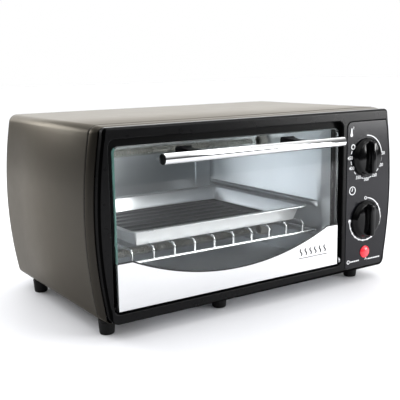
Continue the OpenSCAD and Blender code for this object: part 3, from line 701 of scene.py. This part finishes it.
def screw_head(centre):
    """Pan head with a round recess, facing back."""
    radius = 2.8
    profile = [
        (0, 0), (0, radius), (0.7, radius), (1.3, radius * 0.8), (1.7, radius * 0.45), (1.8, radius * 0.2),
        (1.1, radius * 0.16), (1.1, 0)
    ]
    return lathe("screw", profile, centre, (0, 1, 0), SCREW, 24)


def back_cover():
    """Pressed cover: a flat flange inside the wrap, and a bulge with soft edges round the liner."""
    t = SHEET
    flange_back = depth_of(wrap_hi.y)
    flange_front = flange_back - t
    room = 4.8
    outline = box_outline(left_wall_lo.x + FLARE - room, back_wall_lo.z - room, back_wall_hi.x + room,
                          back_wall_hi.z + room, 12.8, 10)
    back = depth_of(COVER_BACK)
    soft = 5
    build = Build()
    flange = build.skin([flat(body_outline(d), y) for d, y in (
        (1.8, flange_front), (1.1, flange_front), (1.1, flange_back - 0.2), (1.3, flange_back),
        (1.8, flange_back)
    )])
    rise = [(-2.4, flange_back), (-2, flange_back), (-0.8, flange_back + 0.5), (0, flange_back + 2)]
    rise.append((0, back - soft))
    rise += [(soft * (1 - cosine), back - soft * (1 - sine)) for sine, cosine in quarter(6, 1)]
    rise.append((soft + 1, back))
    bulge = build.press(outline, rise)
    slots = []
    for i in range(10):
        z = 56 + 12 * i
        hole = box_outline(122, z, 160, z + 4, 1.9, 4)
        slots.append(build.skin([flat(hole, flange_back), flat(hole, flange_front)]))
    inner = build.press(outline, (
        (-1.6, flange_front), (0.2, flange_front + 0.8), (t, flange_front + 2.2),
        (t, back - soft), (soft, back - t)
    ))
    build.fill(flange[-1], bulge[0], *[slot[0] for slot in slots])
    build.fill(flange[0], inner[0], *[slot[-1] for slot in slots])
    build.fill(bulge[-1])
    build.fill(inner[-1])
    return build.piece("pressed_back_cover", GALVANISED)


def back_screws():
    places = [(side * (side_at(z) - 4.4), z) for side in (-1, 1) for z in (40, 105, 165)]
    return join("back_screw_heads", [screw_head(at(x, depth_of(wrap_hi.y), z)) for x, z in places])


# ---------------- dials


def lettering(text, size, x, z):
    """Flat generic figures facing the front, raised by a hair."""
    curve = bpy.data.curves.new("print", "FONT")
    curve.body = text
    curve.size = size * MM
    curve.align_x = "CENTER"
    curve.align_y = "CENTER"
    curve.extrude = 0.04 * MM
    curve.offset = 0.012 * size * MM
    curve.resolution_u = 3
    holder = place_object("print", curve)
    bpy.context.view_layer.update()
    mesh = bpy.data.meshes.new_from_object(holder.evaluated_get(bpy.context.evaluated_depsgraph_get()))
    bpy.data.objects.remove(holder)
    mesh.transform(Matrix.Translation(at(x, -0.05, z) * MM) @ Euler((math.pi / 2, 0, 0)).to_matrix().to_4x4())
    mesh.materials.clear()
    mesh.materials.append(INK)
    return place_object("print", mesh)


def ribbon(points, width, closed=False, name="print", material=INK, depth=0.0):
    """Flat printed line of a width along (x, z) points."""
    build = Build()
    points = [Vector(p) for p in points]
    before = (points[-1:] if closed else points[:1]) + points
    after = points[1:] + (points[:1] if closed else points[-1:])
    rings = []
    for behind, p, ahead in zip(before, points, after):
        way = (ahead - behind).normalized()
        normal = Vector((-way.y, way.x)) * width / 2
        sides = [p + normal, p - normal]
        rings.append(flat(sides, depth) + flat(reversed(sides), depth - 0.08))
    if closed:
        build.skin(rings, loop=True)
    else:
        build.solid(rings)
    return build.piece(name, material)


def dot(x, z, radius):
    return lathe("print", [(0, radius), (0.13, radius), (0.13, 0)], at(x, 0, z), (0, -1, 0), INK, 20)


def temperature_marks(x, z):
    """Plain arc on the right, then numbers with a dash between each two, and a ring for off."""
    r = 23.4
    things = [ribbon(arc(x, z, r, 90, 8, 30), 1.15)]
    places = [5, 334, 301, 271, 241, 206, 179]
    for angle, number in zip(places, range(150, 451, 50)):
        things.append(lettering(str(number), 5.1, *on_circle(x, z, r + 1.2, angle)))
    for a, b in zip(places, places[1:]):
        between = (a + b) / 2 + (180 if a < b else 0)
        things.append(ribbon(arc(x, z, r, between - 4.5, between + 4.5, 5), 0.9))
    things.append(ribbon(arc(x, z, r, 160, 168, 5), 1.1))
    things.append(ribbon(arc(*on_circle(x, z, r + 0.4, 149), 2.4, 0, 345, 23), 1.1, closed=True))
    return join("temperature_marks", things)


def timer_marks(x, z):
    """Two arcs with beads at the minutes: right for toast, left for the timer."""
    r = 23.6
    things = [ribbon(arc(x, z, r, 84, -22, 32), 1.1), ribbon(arc(x, z, r, -180, -62, 36), 1.1)]
    for angle in (38, 20, 0, -176, -161, -145, -129, -113, -97, -80, -64):
        things.append(dot(*on_circle(x, z, r, angle), 1.15))
    things.append(dot(*on_circle(x, z, r, -181), 1.9))
    things.append(ribbon(arc(*on_circle(x, z, r, 90), 1.5, 0, 340, 17), 0.9, closed=True))
    return join("timer_marks", things)


def clock_icon(x, z):
    things = [
        ribbon(arc(x, z, 4.3, 0, 350, 35), 0.95, closed=True), ribbon([(x, z - 0.4), (x, z + 2.7)], 0.9),
        ribbon([(x - 1.7, z - 0.2), (x + 0.4, z - 0.2)], 0.9)
    ]
    return join("clock_icon", things)


def thermometer_icon(x, z):
    """Bulb, tapered stem and two scale marks."""
    things = [dot(x, z, 1.9)]
    build = Build()
    stem = [(x - 1.3, z + 1.0), (x + 1.3, z + 1.0), (x + 0.9, z + 7.2), (x - 0.5, z + 7.2)]
    build.solid([flat(stem, 0), flat(stem, -0.08)])
    things.append(build.piece("print", INK))
    for height, length in ((8.6, 1.6), (6.9, 1.3)):
        things.append(ribbon([(x + 2.0, z + height), (x + (2.0 + length), z + (height - 0.5))], 0.7))
    return join("thermometer_icon", things)


def panel_captions(x, z):
    """Two generic symbols with dashes where a maker would print words."""

    def dashes(start, count, height):
        starts = [start + 2.7 * i for i in range(count)]
        return [ribbon([(x, height), (x + 2.1, height)], 1.4) for x in starts]

    things = [ribbon(arc(x, z, 1.8, 0, 340, 17), 0.8, closed=True)]
    things += dashes(x + 3.2, 5, z - 0.2)
    peak = x + 26.9
    things.append(ribbon([(peak - 1.4, z - 0.8), (peak, z + 1.6), (peak + 1.4, z - 0.8)], 0.8))
    things += dashes(peak + 3.2, 7, z - 0.5)
    return join("panel_captions", things)


def knob_piece(node):
    """Flared skirt with a rolled edge, drum with a rounded crown, and a grip bar across it."""
    centre, size = middle(node)
    centre.y += size.y
    r, top = size.x, 2 * size.y
    drum = r - 2.7
    profile = [
        (0, r - 1.2), (0, r - 0.5), (0.3, r), (1.3, r - 0.12), (2.1, r - 0.5), (2.6, r - 1.3), (3.2, r - 1.9),
        (4.3, drum + 0.15), (4.9, drum - 0.4), (5.3, drum - 1.3), (5.5, drum - 2.4), (7.0, 0)
    ]
    body = lathe("knob_body", profile, centre, (0, -1, 0), KNOB, 96)
    grip = Build()
    half = 4.0
    rings = []
    for height, width, length in (
        (5.0, half, drum - 0.2), (5.6, half - 0.35, drum - 0.35),
        (top - 1.6, half - 0.75, drum - 0.9), (top - 0.7, half - 1.0, drum - 1.2),
        (top - 0.2, half - 1.6, drum - 1.8), (top, half - 2.5, drum - 2.7)
    ):
        crown = width * 0.45
        rings.append([
            centre + Vector((width * math.sin(a), -height * end, length - crown + crown * math.cos(a))) * end
            for end in (1, -1) for a in (math.radians(-90 + 15 * k) for k in range(13))
        ])
    grip.solid(rings)
    return join(node + "_moulding", [body, grip.piece("knob_grip", KNOB)])


def lamp_lens():
    centre, half = middle("pilot_lamp_lens")
    r = half.x
    proud = FRONT - centre.y + half.y
    profile = [(-2, r - 2.2), (0, r - 2.1), (0, r - 0.2), (0.25, r), (0.9, r - 0.1), (1.25, r - 0.6)]
    profile += [(1.3 + (proud - 1.3) * sine, (r - 0.9) * cosine) for sine, cosine in quarter(8, 1)]
    return lathe("red_lens", profile, at(centre.x, 0, centre.z), (0, -1, 0), LAMP, 48)


# ---------------- door


def door_glass():
    """Frameless pane whose ground edge shows green."""
    outline = box_outline(glass_lo.x, glass_lo.z, glass_hi.x, glass_hi.z, 5.5)
    for i, (a, b) in enumerate(zip(outline, outline[1:] + outline[:1])):
        if max(a[0], b[0]) < glass_lo.x + 0.01 and abs(a[1] - b[1]) > 20:
            outline.insert(i + 1, (a[0], band_hi.z))
            break
    front, back = depth_of(glass_lo.y), depth_of(glass_hi.y)
    edge = 1.0
    pane_piece = plate("glass_pane", outline, (
        (edge * 1.2, front), (edge, front), (0, front + edge), (0, back - edge), (edge, back),
        (edge * 1.2, back)
    ), [GLASS, GLASS_EDGE, GLASS_EDGE_SHADE], 25)
    # Only the left edge above the band shows the glass's green; the other edges take the dark copy as painted
    # shade.
    for p in pane_piece.data.polygons:
        if abs(p.normal.y) < 0.95:
            p.material_index = 1 if p.normal.x < -0.5 and centre_of(p).z > band_hi.z else 2
    return pane_piece


def band_outline():
    """Silver band: level at both ends, with a long hollow arc between them."""
    x0, x1 = band_lo.x, band_hi.x
    z0, z1 = band_lo.z, band_hi.z
    low = 45.4
    level = 15
    half = (x1 - x0) / 2 - level
    drop = z1 - low
    radius = (half * half + drop * drop) / (2 * drop)
    spread = math.degrees(math.asin(half / radius))
    hollow = arc((x0 + x1) / 2, low + radius, radius, -90 + spread, -90 - spread, 48)
    return [(x0, z0), (x1, z0), (x1, z1)] + hollow + [(x0, z1)]


def silver_band():
    front = depth_of(band_lo.y)
    steps = ((0.3, front), (0.16, front), (0, front + 0.16), (0, depth_of(band_hi.y)))
    return plate("silver_band", band_outline(), steps, MIRROR, 25)


def band_line():
    """Thin black line that follows the band's upper edge."""
    top = [(x, z + 0.35) for x, z in band_outline()[2:]]
    return ribbon(top, 1.5, name="band_line", material=LINE, depth=depth_of(band_lo.y) + 0.02)


def heat_mark(x, z):
    """Generic sign on the band: a row of rising heat waves over a thin rule."""
    things = []
    depth = depth_of(band_lo.y) + 0.02
    for i in range(6):
        cx = x + (i - 2.5) * 6.6
        wave = [(cx + 1.1 * math.sin(k / 16 * 2 * math.pi), z + (k / 16 - 0.5) * 7.2) for k in range(17)]
        things.append(ribbon(wave, 1.7, material=LINE, depth=depth))
    things.append(ribbon([(x - 20, z - 6.2), (x + 20, z - 6.2)], 0.8, material=LINE, depth=depth))
    return join("heat_wave_mark", things)


def handle_bar():
    centre, half = middle("handle_bar")
    r, length = half.z, 2 * half.x
    centre.x = bar_lo.x
    e = 0.35
    profile = [
        (0, r - 1), (0, r - e), (e * 0.3, r - e * 0.3), (e, r), (length * 0.5, r), (length - e, r),
        (length - e * 0.3, r - e * 0.3), (length, r - e), (length, r - 1)
    ]
    return lathe("chrome_bar", profile, centre, (1, 0, 0), CHROME, 64)


def bar_caps():
    centre = middle("handle_end_caps")[0]
    r = (bar_hi.z - bar_lo.z) / 2
    things = []
    for x, way in ((bar_lo.x, -1), (bar_hi.x, 1)):
        profile = [(-3, r - 1.2), (0, r - 1.2), (0, r), (0.9, r), (1.35, r - 0.35), (1.6, r - 1.2), (1.6, 0)]
        things.append(lathe("cap", profile, (x, centre.y, centre.z), (way, 0, 0), PLASTIC, 40))
    return join("bar_caps", things)


def bracket_piece(side):
    """Foot plate on the glass that sweeps in to a saddle behind the bar."""
    centre, half = middle("handle_bracket_" + side)
    bar_centre, bar_half = middle("handle_bar")
    start = centre.y + half.y
    reach = start - (bar_centre.y + bar_half.z * 0.72)
    rings = []
    for share, w, h in ((0, 0.93, 0.9), (0.012, 1, 1), (0.05, 1, 1), (0.075, 0.97, 0.96), (0.12, 0.86, 0.86),
                        (0.22, 0.74, 0.74), (0.42, 0.66, 0.66), (0.7, 0.62, 0.62), (0.93, 0.61, 0.62),
                        (1, 0.58, 0.6)):
        wide, tall = half.x * w, half.z * h
        outline = box_outline(centre.x - wide, centre.z - tall, centre.x + wide, centre.z + tall, 2.4 * w, 5)
        rings.append([Vector((px, start - reach * share, pz)) for px, pz in outline])
    build = Build()
    build.solid(rings)
    return build.piece(side + "_bracket", PLASTIC)


# ---------------- cavity


def close_edges(build, inner, outer):
    """Fills the rim between a sheet's inner skin and its outer one, whose rows have two points each."""
    for end in (0, -1):
        build.fill([row[end] for row in inner] + [row[end] for row in reversed(outer)])
    for end in (0, -1):
        build.fill(inner[end] + outer[end][::-1])


def side_wall(name, x, way):
    """Liner wall: flared mouth, soft fold, and two pressed ledges whose fillets run into the wall."""
    profile = [(0, FLOOR_Z)]
    for height in LEDGE_HEIGHTS:
        profile += [(0, height - 9), (0.5, height - 6.5), (LEDGE_WIDTH - 1.4, height - 2.0),
                    (LEDGE_WIDTH - 0.3, height - 1.4), (LEDGE_WIDTH, height - 0.8),
                    (LEDGE_WIDTH - 0.3, height - 0.2), (LEDGE_WIDTH - 1, height),
                    (1.2, height), (0.4, height + 0.3), (0, height + 1.2)]
    profile.append((0, ROOF_Z))

    def row(depth, out, press):
        return [at(x + way * out - way * d * press, depth, z) for d, z in profile]

    rows = [
        row(CAVITY_FRONT, FLARE, 0), row(FOLD - 1.5, 0.4, 0), row(FOLD, 0.1, 0), row(FOLD + 1.5, 0, 0),
        row(FOLD + 5, 0, 0.05), row(FOLD + 7, 0, 0.55), row(FOLD + 8.5, 0, 0.95), row(FOLD + 10, 0, 1),
        row(CAVITY_BACK - 11, 0, 1), row(CAVITY_BACK - 9.5, 0, 0.95), row(CAVITY_BACK - 8, 0, 0.5),
        row(CAVITY_BACK - 6, 0, 0.05), row(CAVITY_BACK, 0, 0)
    ]
    build = Build()
    inner = build.skin(rows, closed=False)
    outer_rows = [row(CAVITY_FRONT, FLARE + SHEET, 0), row(FOLD, SHEET, 0), row(CAVITY_BACK, SHEET, 0)]
    outer = build.skin([[r[0], r[-1]] for r in outer_rows], closed=False)
    close_edges(build, inner, outer)
    return build.piece(name, LINER, 30)


def liner_sheet(name, z, thick, material):
    """Roof or floor: a thin plate, wider at the flared mouth."""
    columns = [CAVITY_LEFT, CAVITY_LEFT + 14, CAVITY_LEFT + 20]
    columns += [CAVITY_RIGHT - 20, CAVITY_RIGHT - 14, CAVITY_RIGHT]
    rows = 96
    inner, outer = [], []
    for i in range(rows + 1):
        depth = CAVITY_FRONT + (CAVITY_BACK - CAVITY_FRONT) * i / rows
        flare = FLARE * (1 - min(1.0, (depth - CAVITY_FRONT) / (FOLD - CAVITY_FRONT)))
        row = [at(x, depth, z) for x in [CAVITY_LEFT - flare] + columns + [CAVITY_RIGHT + flare]]
        inner.append(row)
        outer.append([p + Vector((0, 0, thick)) for p in (row[0], row[-1])])
    build = Build()
    top = build.skin(inner, closed=False)
    under = build.skin(outer, closed=False)
    close_edges(build, top, under)
    return build.piece(name, material, 30)


def back_wall():
    """Back of the liner with a raised panel pressed into it."""
    lo, hi = back_wall_lo, back_wall_hi
    outline = [(lo.x, lo.z), (hi.x, lo.z), (hi.x, hi.z), (lo.x, hi.z)]
    front = depth_of(lo.y)
    panel = box_outline(lo.x + 22, lo.z + 20, hi.x - 22, hi.z - 20, 14)
    build = Build()
    edge = build.skin([flat(outline, depth_of(hi.y)), flat(outline, front)])
    rise = ((-0.4, 0), (0, 0), (0.8, 0.15), (2.2, 0.9), (3.0, 1.1), (3.6, 1.1))
    press = build.press(panel, [(d, front - height) for d, height in rise])
    build.fill(edge[-1], press[0])
    build.fill(press[-1])
    build.fill(edge[0])
    return build.piece("liner_back", LINER, 30)


def front_frame():
    """Painted flange between the bezel and the cavity's mouth, with a rolled inner edge."""
    outline = box_outline(frame_lo.x, frame_lo.z, frame_hi.x, frame_hi.z, 4)
    mouth = box_outline(CAVITY_LEFT + 0.8, FLOOR_Z, CAVITY_RIGHT - 0.8, ROOF_Z, 2)
    front, back = depth_of(frame_lo.y), depth_of(frame_hi.y)
    build = Build()
    edge = build.skin([flat(outline, back), flat(outline, front)])
    hole = build.press(mouth, ((-1.2, front), (-0.9, front), (-0.2, front + 0.2), (0, back - 0.2), (0, back)))
    build.fill(edge[-1], hole[0])
    build.fill(edge[0], hole[-1])
    return build.piece("mouth_flange", ENAMEL, 30)


def heater_tube(name, node):
    centre, half = middle(node)
    r, end = half.z, half.x
    bore = r - 1
    profile = [(-end, bore), (-end, r - 0.2), (0.2 - end, r), (end - 0.2, r), (end, r - 0.2), (end, bore)]
    profile.append((0, bore))
    axis, side, other = Vector((1, 0, 0)), Vector((0, 1, 0)), Vector((0, 0, 1))
    build = Build()
    build.skin([
        circle(centre + axis * along, side, other, radius, 32) for along, radius in profile
    ], loop=True)
    return build.piece(name, QUARTZ)


def heater_coil(name, node):
    """Close-wound resistance wire inside the quartz tube."""
    centre, half = middle(node)
    wind = 2.5
    pitch = 3.2
    turns = int((half.x - 1) * 2 / pitch)
    steps = 14
    path = []
    for i in range(turns * steps + 1):
        a = 2 * math.pi * i / steps
        path.append(centre + Vector((1 - half.x + pitch * i / steps, wind * math.cos(a), wind * math.sin(a))))
    build = Build()
    add_tube(build, path, 0.5, 6)
    return build.piece(name, COIL)


def heater_caps(name, node):
    """Ceramic holders with a stepped collar at each wall."""
    centre, half = middle(node)
    r = half.z
    profile = [
        (-5.5, 0), (-5.5, 3.6), (-5.1, 4), (0, 4), (0, r), (2.2, r), (2.8, r - 0.6), (7.2, r - 1.1),
        (8, r - 1.8), (8, 5.2), (3.2, 5.2), (3.2, 0)
    ]
    return join(name, [
        lathe("cap", profile, (x, centre.y, centre.z), (way, 0, 0), CERAMIC, 40)
        for x, way in ((CAVITY_LEFT, 1), (CAVITY_RIGHT, -1))
    ])


# ---------------- rack and tray


def wire_rack():
    """Ten long wires with bent ends on two cross wires, carried by thicker side wires."""
    build = Build()
    cross_z = rack_lo.z + 1.5
    top_z = RACK_TOP - 1.1
    front, back = rack_lo.y + 2, rack_hi.y - 2
    x0, x1 = rack_lo.x + 1.5, rack_hi.x - 1.5
    pitch = 23.2

    def wire(points, radius, sides):
        add_tube(build, bend_path([Vector(p) for p in points], 4), radius, sides)

    for i in range(10):
        x = (x0 + x1) / 2 + (i - 4.5) * pitch
        wire([(x, front, cross_z), (x, front, top_z), (x, back, top_z), (x, back, cross_z)], 1.1, 12)
    for y in (front, back):
        wire([(x0, y, cross_z), (x1, y, cross_z)], 1.3, 14)
    for x in (x0, x1):
        wire([(x, rack_lo.y, cross_z), (x, rack_hi.y, cross_z)], 1.5, 14)
    y, z = (front + back) / 2, top_z - 2.22
    wire([(x0 + 16, y, z), (x1 - 16, y, z)], 1.1, 12)
    return build.piece("rack_wires", WIRE, 60)


def baking_tray():
    """Drawn pan: rolled rim, sloping walls, rounded foot and beads pressed along its floor."""
    rim = box_outline(tray_lo.x, tray_lo.y, tray_hi.x, tray_hi.y, 14, 10)
    top = tray_hi.z
    low = tray_lo.z
    t = 0.7
    wall = 8
    slope = 6
    outer = [
        (0.2, top - 1.3), (0, top - 0.9), (0.05, top - 0.45), (0.35, top - 0.1), (0.9, top), (1.8, top - 0.1),
        (2.6, top - 0.45), (3.4, top - 0.55), (wall - 1.6, top - 0.55), (wall - 0.4, top - 0.9),
        (wall + 0.4, top - 2.0), (wall + slope - 1.0, low + t + 3.0), (wall + slope - 0.2, low + t + 1.2),
        (wall + slope + 1.0, low + t + 0.3), (wall + slope + 2.6, low + t)
    ]

    def ring(d, z):
        return [Vector((x, y, z)) for x, y in inset(rim, d)]

    build = Build()
    made = build.skin([ring(d, z) for d, z in outer])
    floor_box = inset(rim, wall + slope + 2.6)
    x0, x1 = min(p[0] for p in floor_box), max(p[0] for p in floor_box)
    y0, y1 = min(p[1] for p in floor_box), max(p[1] for p in floor_box)
    beads = 9
    holes = []
    for i in range(beads):
        y = y0 + (y1 - y0) * (i + 0.5) / beads
        bead = box_outline(x0 + 12, y - 4.2, x1 - 12, y + 4.2, 4, 5)
        rise = [(0, 0), (0.9, 0.15), (2.2, 0.95), (3.4, 1.3)]
        hole = build.skin([[Vector((px, py, low + t + h)) for px, py in inset(bead, d)] for d, h in rise])
        build.fill(hole[-1])
        holes.append(hole[0])
    build.fill(made[-1], *holes)
    under = [
        (0.5, top - 1.3), (0.9, top - 0.8), (wall - 1.4, top - 1.25), (wall - 0.3, top - 2.4),
        (wall + slope - 1.3, low + 2.6), (wall + slope - 0.4, low + 0.8), (wall + slope + 1.2, low)
    ]
    back = build.skin([ring(d, z) for d, z in under])
    build.bridge(made[0], back[0])
    build.fill(back[-1])
    tray = build.piece("drawn_tray", [TRAY, TRAY_SHADED_FLOOR], 30)
    # The inner floor and its beads take the near-black copy of the aluminium as painted shade.
    for p in tray.data.polygons:
        x, y, z = centre_of(p)
        if x0 - 1 < x < x1 + 1 and y0 - 1 < y < y1 + 1 and low + 0.5 * t < z < low + t + 1.5:
            p.material_index = 1
    return tray


# ---------------- assemble

FEET = ("foot_front_left", "foot_front_right", "foot_rear_left", "foot_rear_right", "foot_front_middle")
dial = middle("temperature_knob")[0]
timer = middle("timer_knob")[0]
show(
    "oven_body",
    (housing_wrap(), "olive_paint", "housing_wrap"),
    (front_bezel(), "black_plastic", "front_bezel"),
    (control_panel(), "panel_plastic", "control_panel"),
    (back_cover(), "galvanised_steel", "back_cover"),
    (back_screws(), "screw_steel", "back_cover_screws"),
    *[(foot_piece(foot), "foot_rubber", foot) for foot in FEET],
    (temperature_marks(dial.x, dial.z), "panel_plastic"),
    (timer_marks(dial.x, timer.z), "panel_plastic"),
    (clock_icon(panel_lo.x + 8.9, timer.z + 33.6), "panel_plastic"),
    (thermometer_icon(panel_lo.x + 6.0, dial.z + 25.0), "panel_plastic"),
    (panel_captions(panel_lo.x + 4.6, panel_lo.z + 7.2), "panel_plastic"),
)
for name in ("temperature", "timer"):
    show(name + "_dial", (knob_piece(name + "_knob"), "knob_plastic", name + "_knob"))
show("oven_body", (lamp_lens(), "lamp_red", "pilot_lamp_lens"))
show(
    "door",
    (door_glass(), "door_glass", "door_glass"),
    (silver_band(), "silver_band", "door_silver_band"),
    (band_line(), "silver_band"),
    (heat_mark(64.5, 47.5), "silver_band"),
    (handle_bar(), "handle_chrome", "handle_bar"),
    (bar_caps(), "black_plastic", "handle_end_caps"),
    (bracket_piece("left"), "black_plastic", "handle_bracket_left"),
    (bracket_piece("right"), "black_plastic", "handle_bracket_right"),
)
show(
    "oven_body",
    (side_wall("liner_left", CAVITY_LEFT, -1), "liner_steel", "cavity_left_wall"),
    (side_wall("liner_right", CAVITY_RIGHT, 1), "liner_steel", "cavity_right_wall"),
    (liner_sheet("liner_roof", ROOF_Z, SHEET, LINER), "liner_steel", "cavity_roof"),
    (liner_sheet("liner_floor", FLOOR_Z, -SHEET, FLOOR_STEEL), "liner_steel", "cavity_floor"),
    (back_wall(), "liner_steel", "cavity_back_wall"),
    (front_frame(), "frame_paint", "cavity_front_frame"),
)
for level in ("upper", "lower"):
    for make, name, node, slot in (
        (heater_tube, "_quartz", "_heater_tube", "heater_quartz"),
        (heater_coil, "_coil", "_heater_coil", "heater_wire"),
        (heater_caps, "_ceramics", "_heater_caps", "ceramic"),
    ):
        show("oven_body", (make(level + name, level + node), slot, level + node))
show(
    "rack",
    (wire_rack(), "rack_chrome", "rack_frame", "rack_wires"),
    (baking_tray(), "tray_aluminium", "baking_tray"),
)

SLOT_MATERIALS = {
    "galvanised_steel": GALVANISED, "screw_steel": SCREW, "white_nylon": NYLON, "ceramic": CERAMIC,
    "wire_insulation": SLEEVE, "shaft_brass": BRASS, "foot_rubber": RUBBER, "frame_paint": ENAMEL,
    "bulb_glass": BULB,
}
BLACKENED = ("hinge_pin_left", "hinge_pin_right", "front_frame_screws")
for part in frame["record"]["subparts"]:
    thing = frame["nodes"][part["node"]]
    material = ENAMEL if part["node"] in BLACKENED else SLOT_MATERIALS.get(part["material_slot"])
    if material and not thing.hide_render:
        thing.data.materials.clear()
        thing.data.materials.append(material)
        for p in thing.data.polygons:
            p.material_index = 0

# ---------------- stage, light and camera


def floor():
    mesh = bpy.data.meshes.new("floor")
    near, far = 0.85, 8.0
    mesh.from_pydata([(-far, -near, 0), (far, -near, 0), (far, far, 0), (-far, far, 0)], [], [(0, 1, 2, 3)])
    mesh.materials.append(surface("pale_floor", (0.855, 0.86, 0.885), 0.01, (0.6,), ((3,), 0.45, 0.55),
                                  Specular_IOR_Level=0.04))
    place_object("floor", mesh)


def area_light(name, place, target, size, power):
    light = bpy.data.lights.new(name, "AREA")
    light.shape = "RECTANGLE"
    light.size, light.size_y = size
    light.energy = power
    thing = place_object(name, light)
    thing.location = place
    thing.rotation_euler = (Vector(target) - Vector(place)).to_track_quat("-Z", "Y").to_euler()
    return thing


FRONT_LIGHT, BACK_LIGHT, TOP_LIGHT, HORIZON_LIGHT = 0.14, 2.7, 1.15, 0.1


def world_light():
    world = bpy.data.worlds.new("studio")
    bpy.context.scene.world = world
    world.use_nodes = True
    nodes, links = world.node_tree.nodes, world.node_tree.links
    background = nodes["Background"]
    background.inputs["Color"].default_value = (1.0, 1.0, 1.0, 1)
    direction = nodes.new("ShaderNodeTexCoord").outputs["Generated"]
    axes = nodes.new("ShaderNodeSeparateXYZ")
    links.new(direction, axes.inputs[0])

    def share(source, start, end, low, high):
        made = nodes.new("ShaderNodeMapRange")
        made.interpolation_type = "SMOOTHSTEP"
        for key, value in (("From Min", start), ("From Max", end), ("To Min", low), ("To Max", high)):
            made.inputs[key].default_value = value
        links.new(source, made.inputs["Value"])
        return made.outputs["Result"]

    def blend(factor, low, high):
        made = nodes.new("ShaderNodeMix")
        for socket, value in zip(list(made.inputs)[:4], (factor, None, low, high)):
            if isinstance(value, float):
                socket.default_value = value
            elif value is not None:
                links.new(value, socket)
        return made.outputs[0]

    toward = nodes.new("ShaderNodeVectorMath")
    toward.operation = "DOT_PRODUCT"
    links.new(direction, toward.inputs[0])
    toward.inputs[1].default_value = (0.5, 0.866, 0)
    around = share(toward.outputs["Value"], 0.35, 0.95, FRONT_LIGHT, BACK_LIGHT)
    above = share(axes.outputs["Z"], 0.25, 0.8, 0.0, 1.0)
    low = share(axes.outputs["Z"], 0.0, 0.12, 0.0, 1.0)
    seen = nodes.new("ShaderNodeLightPath").outputs["Is Camera Ray"]
    lit = blend(low, HORIZON_LIGHT, blend(above, around, TOP_LIGHT))
    links.new(blend(seen, lit, 1.0), background.inputs["Strength"])


def camera():
    """Three-quarter view from the left, a little above the top, as in the reference view."""
    azimuth, elevation, roll = math.radians(-33.68), math.radians(10.48), math.radians(-1.0)
    distance = 0.8049
    target = at(-9.8, 100, 95.3) * MM
    data = bpy.data.cameras.new("camera")
    data.sensor_width = 36
    data.lens = 66.3
    data.clip_start = 0.01
    thing = place_object("camera", data)
    turn = Matrix.Rotation(azimuth, 4, "Z") @ Matrix.Rotation(math.pi / 2 - elevation, 4, "X")
    thing.matrix_world = Matrix.Translation(target) @ turn @ Matrix.Translation((0, 0, distance))
    thing.matrix_world @= Matrix.Rotation(roll, 4, "Z")
    bpy.context.scene.camera = thing


floor()
world_light()
area_light("front_softbox", (1.0, -1.4, 0.9), (0, -0.1, 0.1), (1.2, 0.9), 17)
area_light("top_softbox", (0.1, 0.3, 1.5), (0, 0, 0.1), (1.6, 1.4), 13)
area_light("panel_softbox", (0.84, -0.76, 0.21), (0.14, -0.1, 0.15), (0.34, 0.18), 5)
area_light("side_softbox", (-0.75, 1.25, 0.55), (-0.18, 0.05, 0.12), (0.7, 0.5), 8)
glow = area_light("cavity_glow", at(-100, 115, 130) * MM, at(-140, 240, 100) * MM, (0.15, 0.03), 0.15)
glow.visible_camera = False
glow = area_light("mouth_glow", at(-32, 9, 52) * MM, at(-32, 40, 85) * MM, (0.22, 0.008), 0.024)
glow.visible_camera = False
camera()
bpy.context.scene.view_settings.view_transform = "Standard"
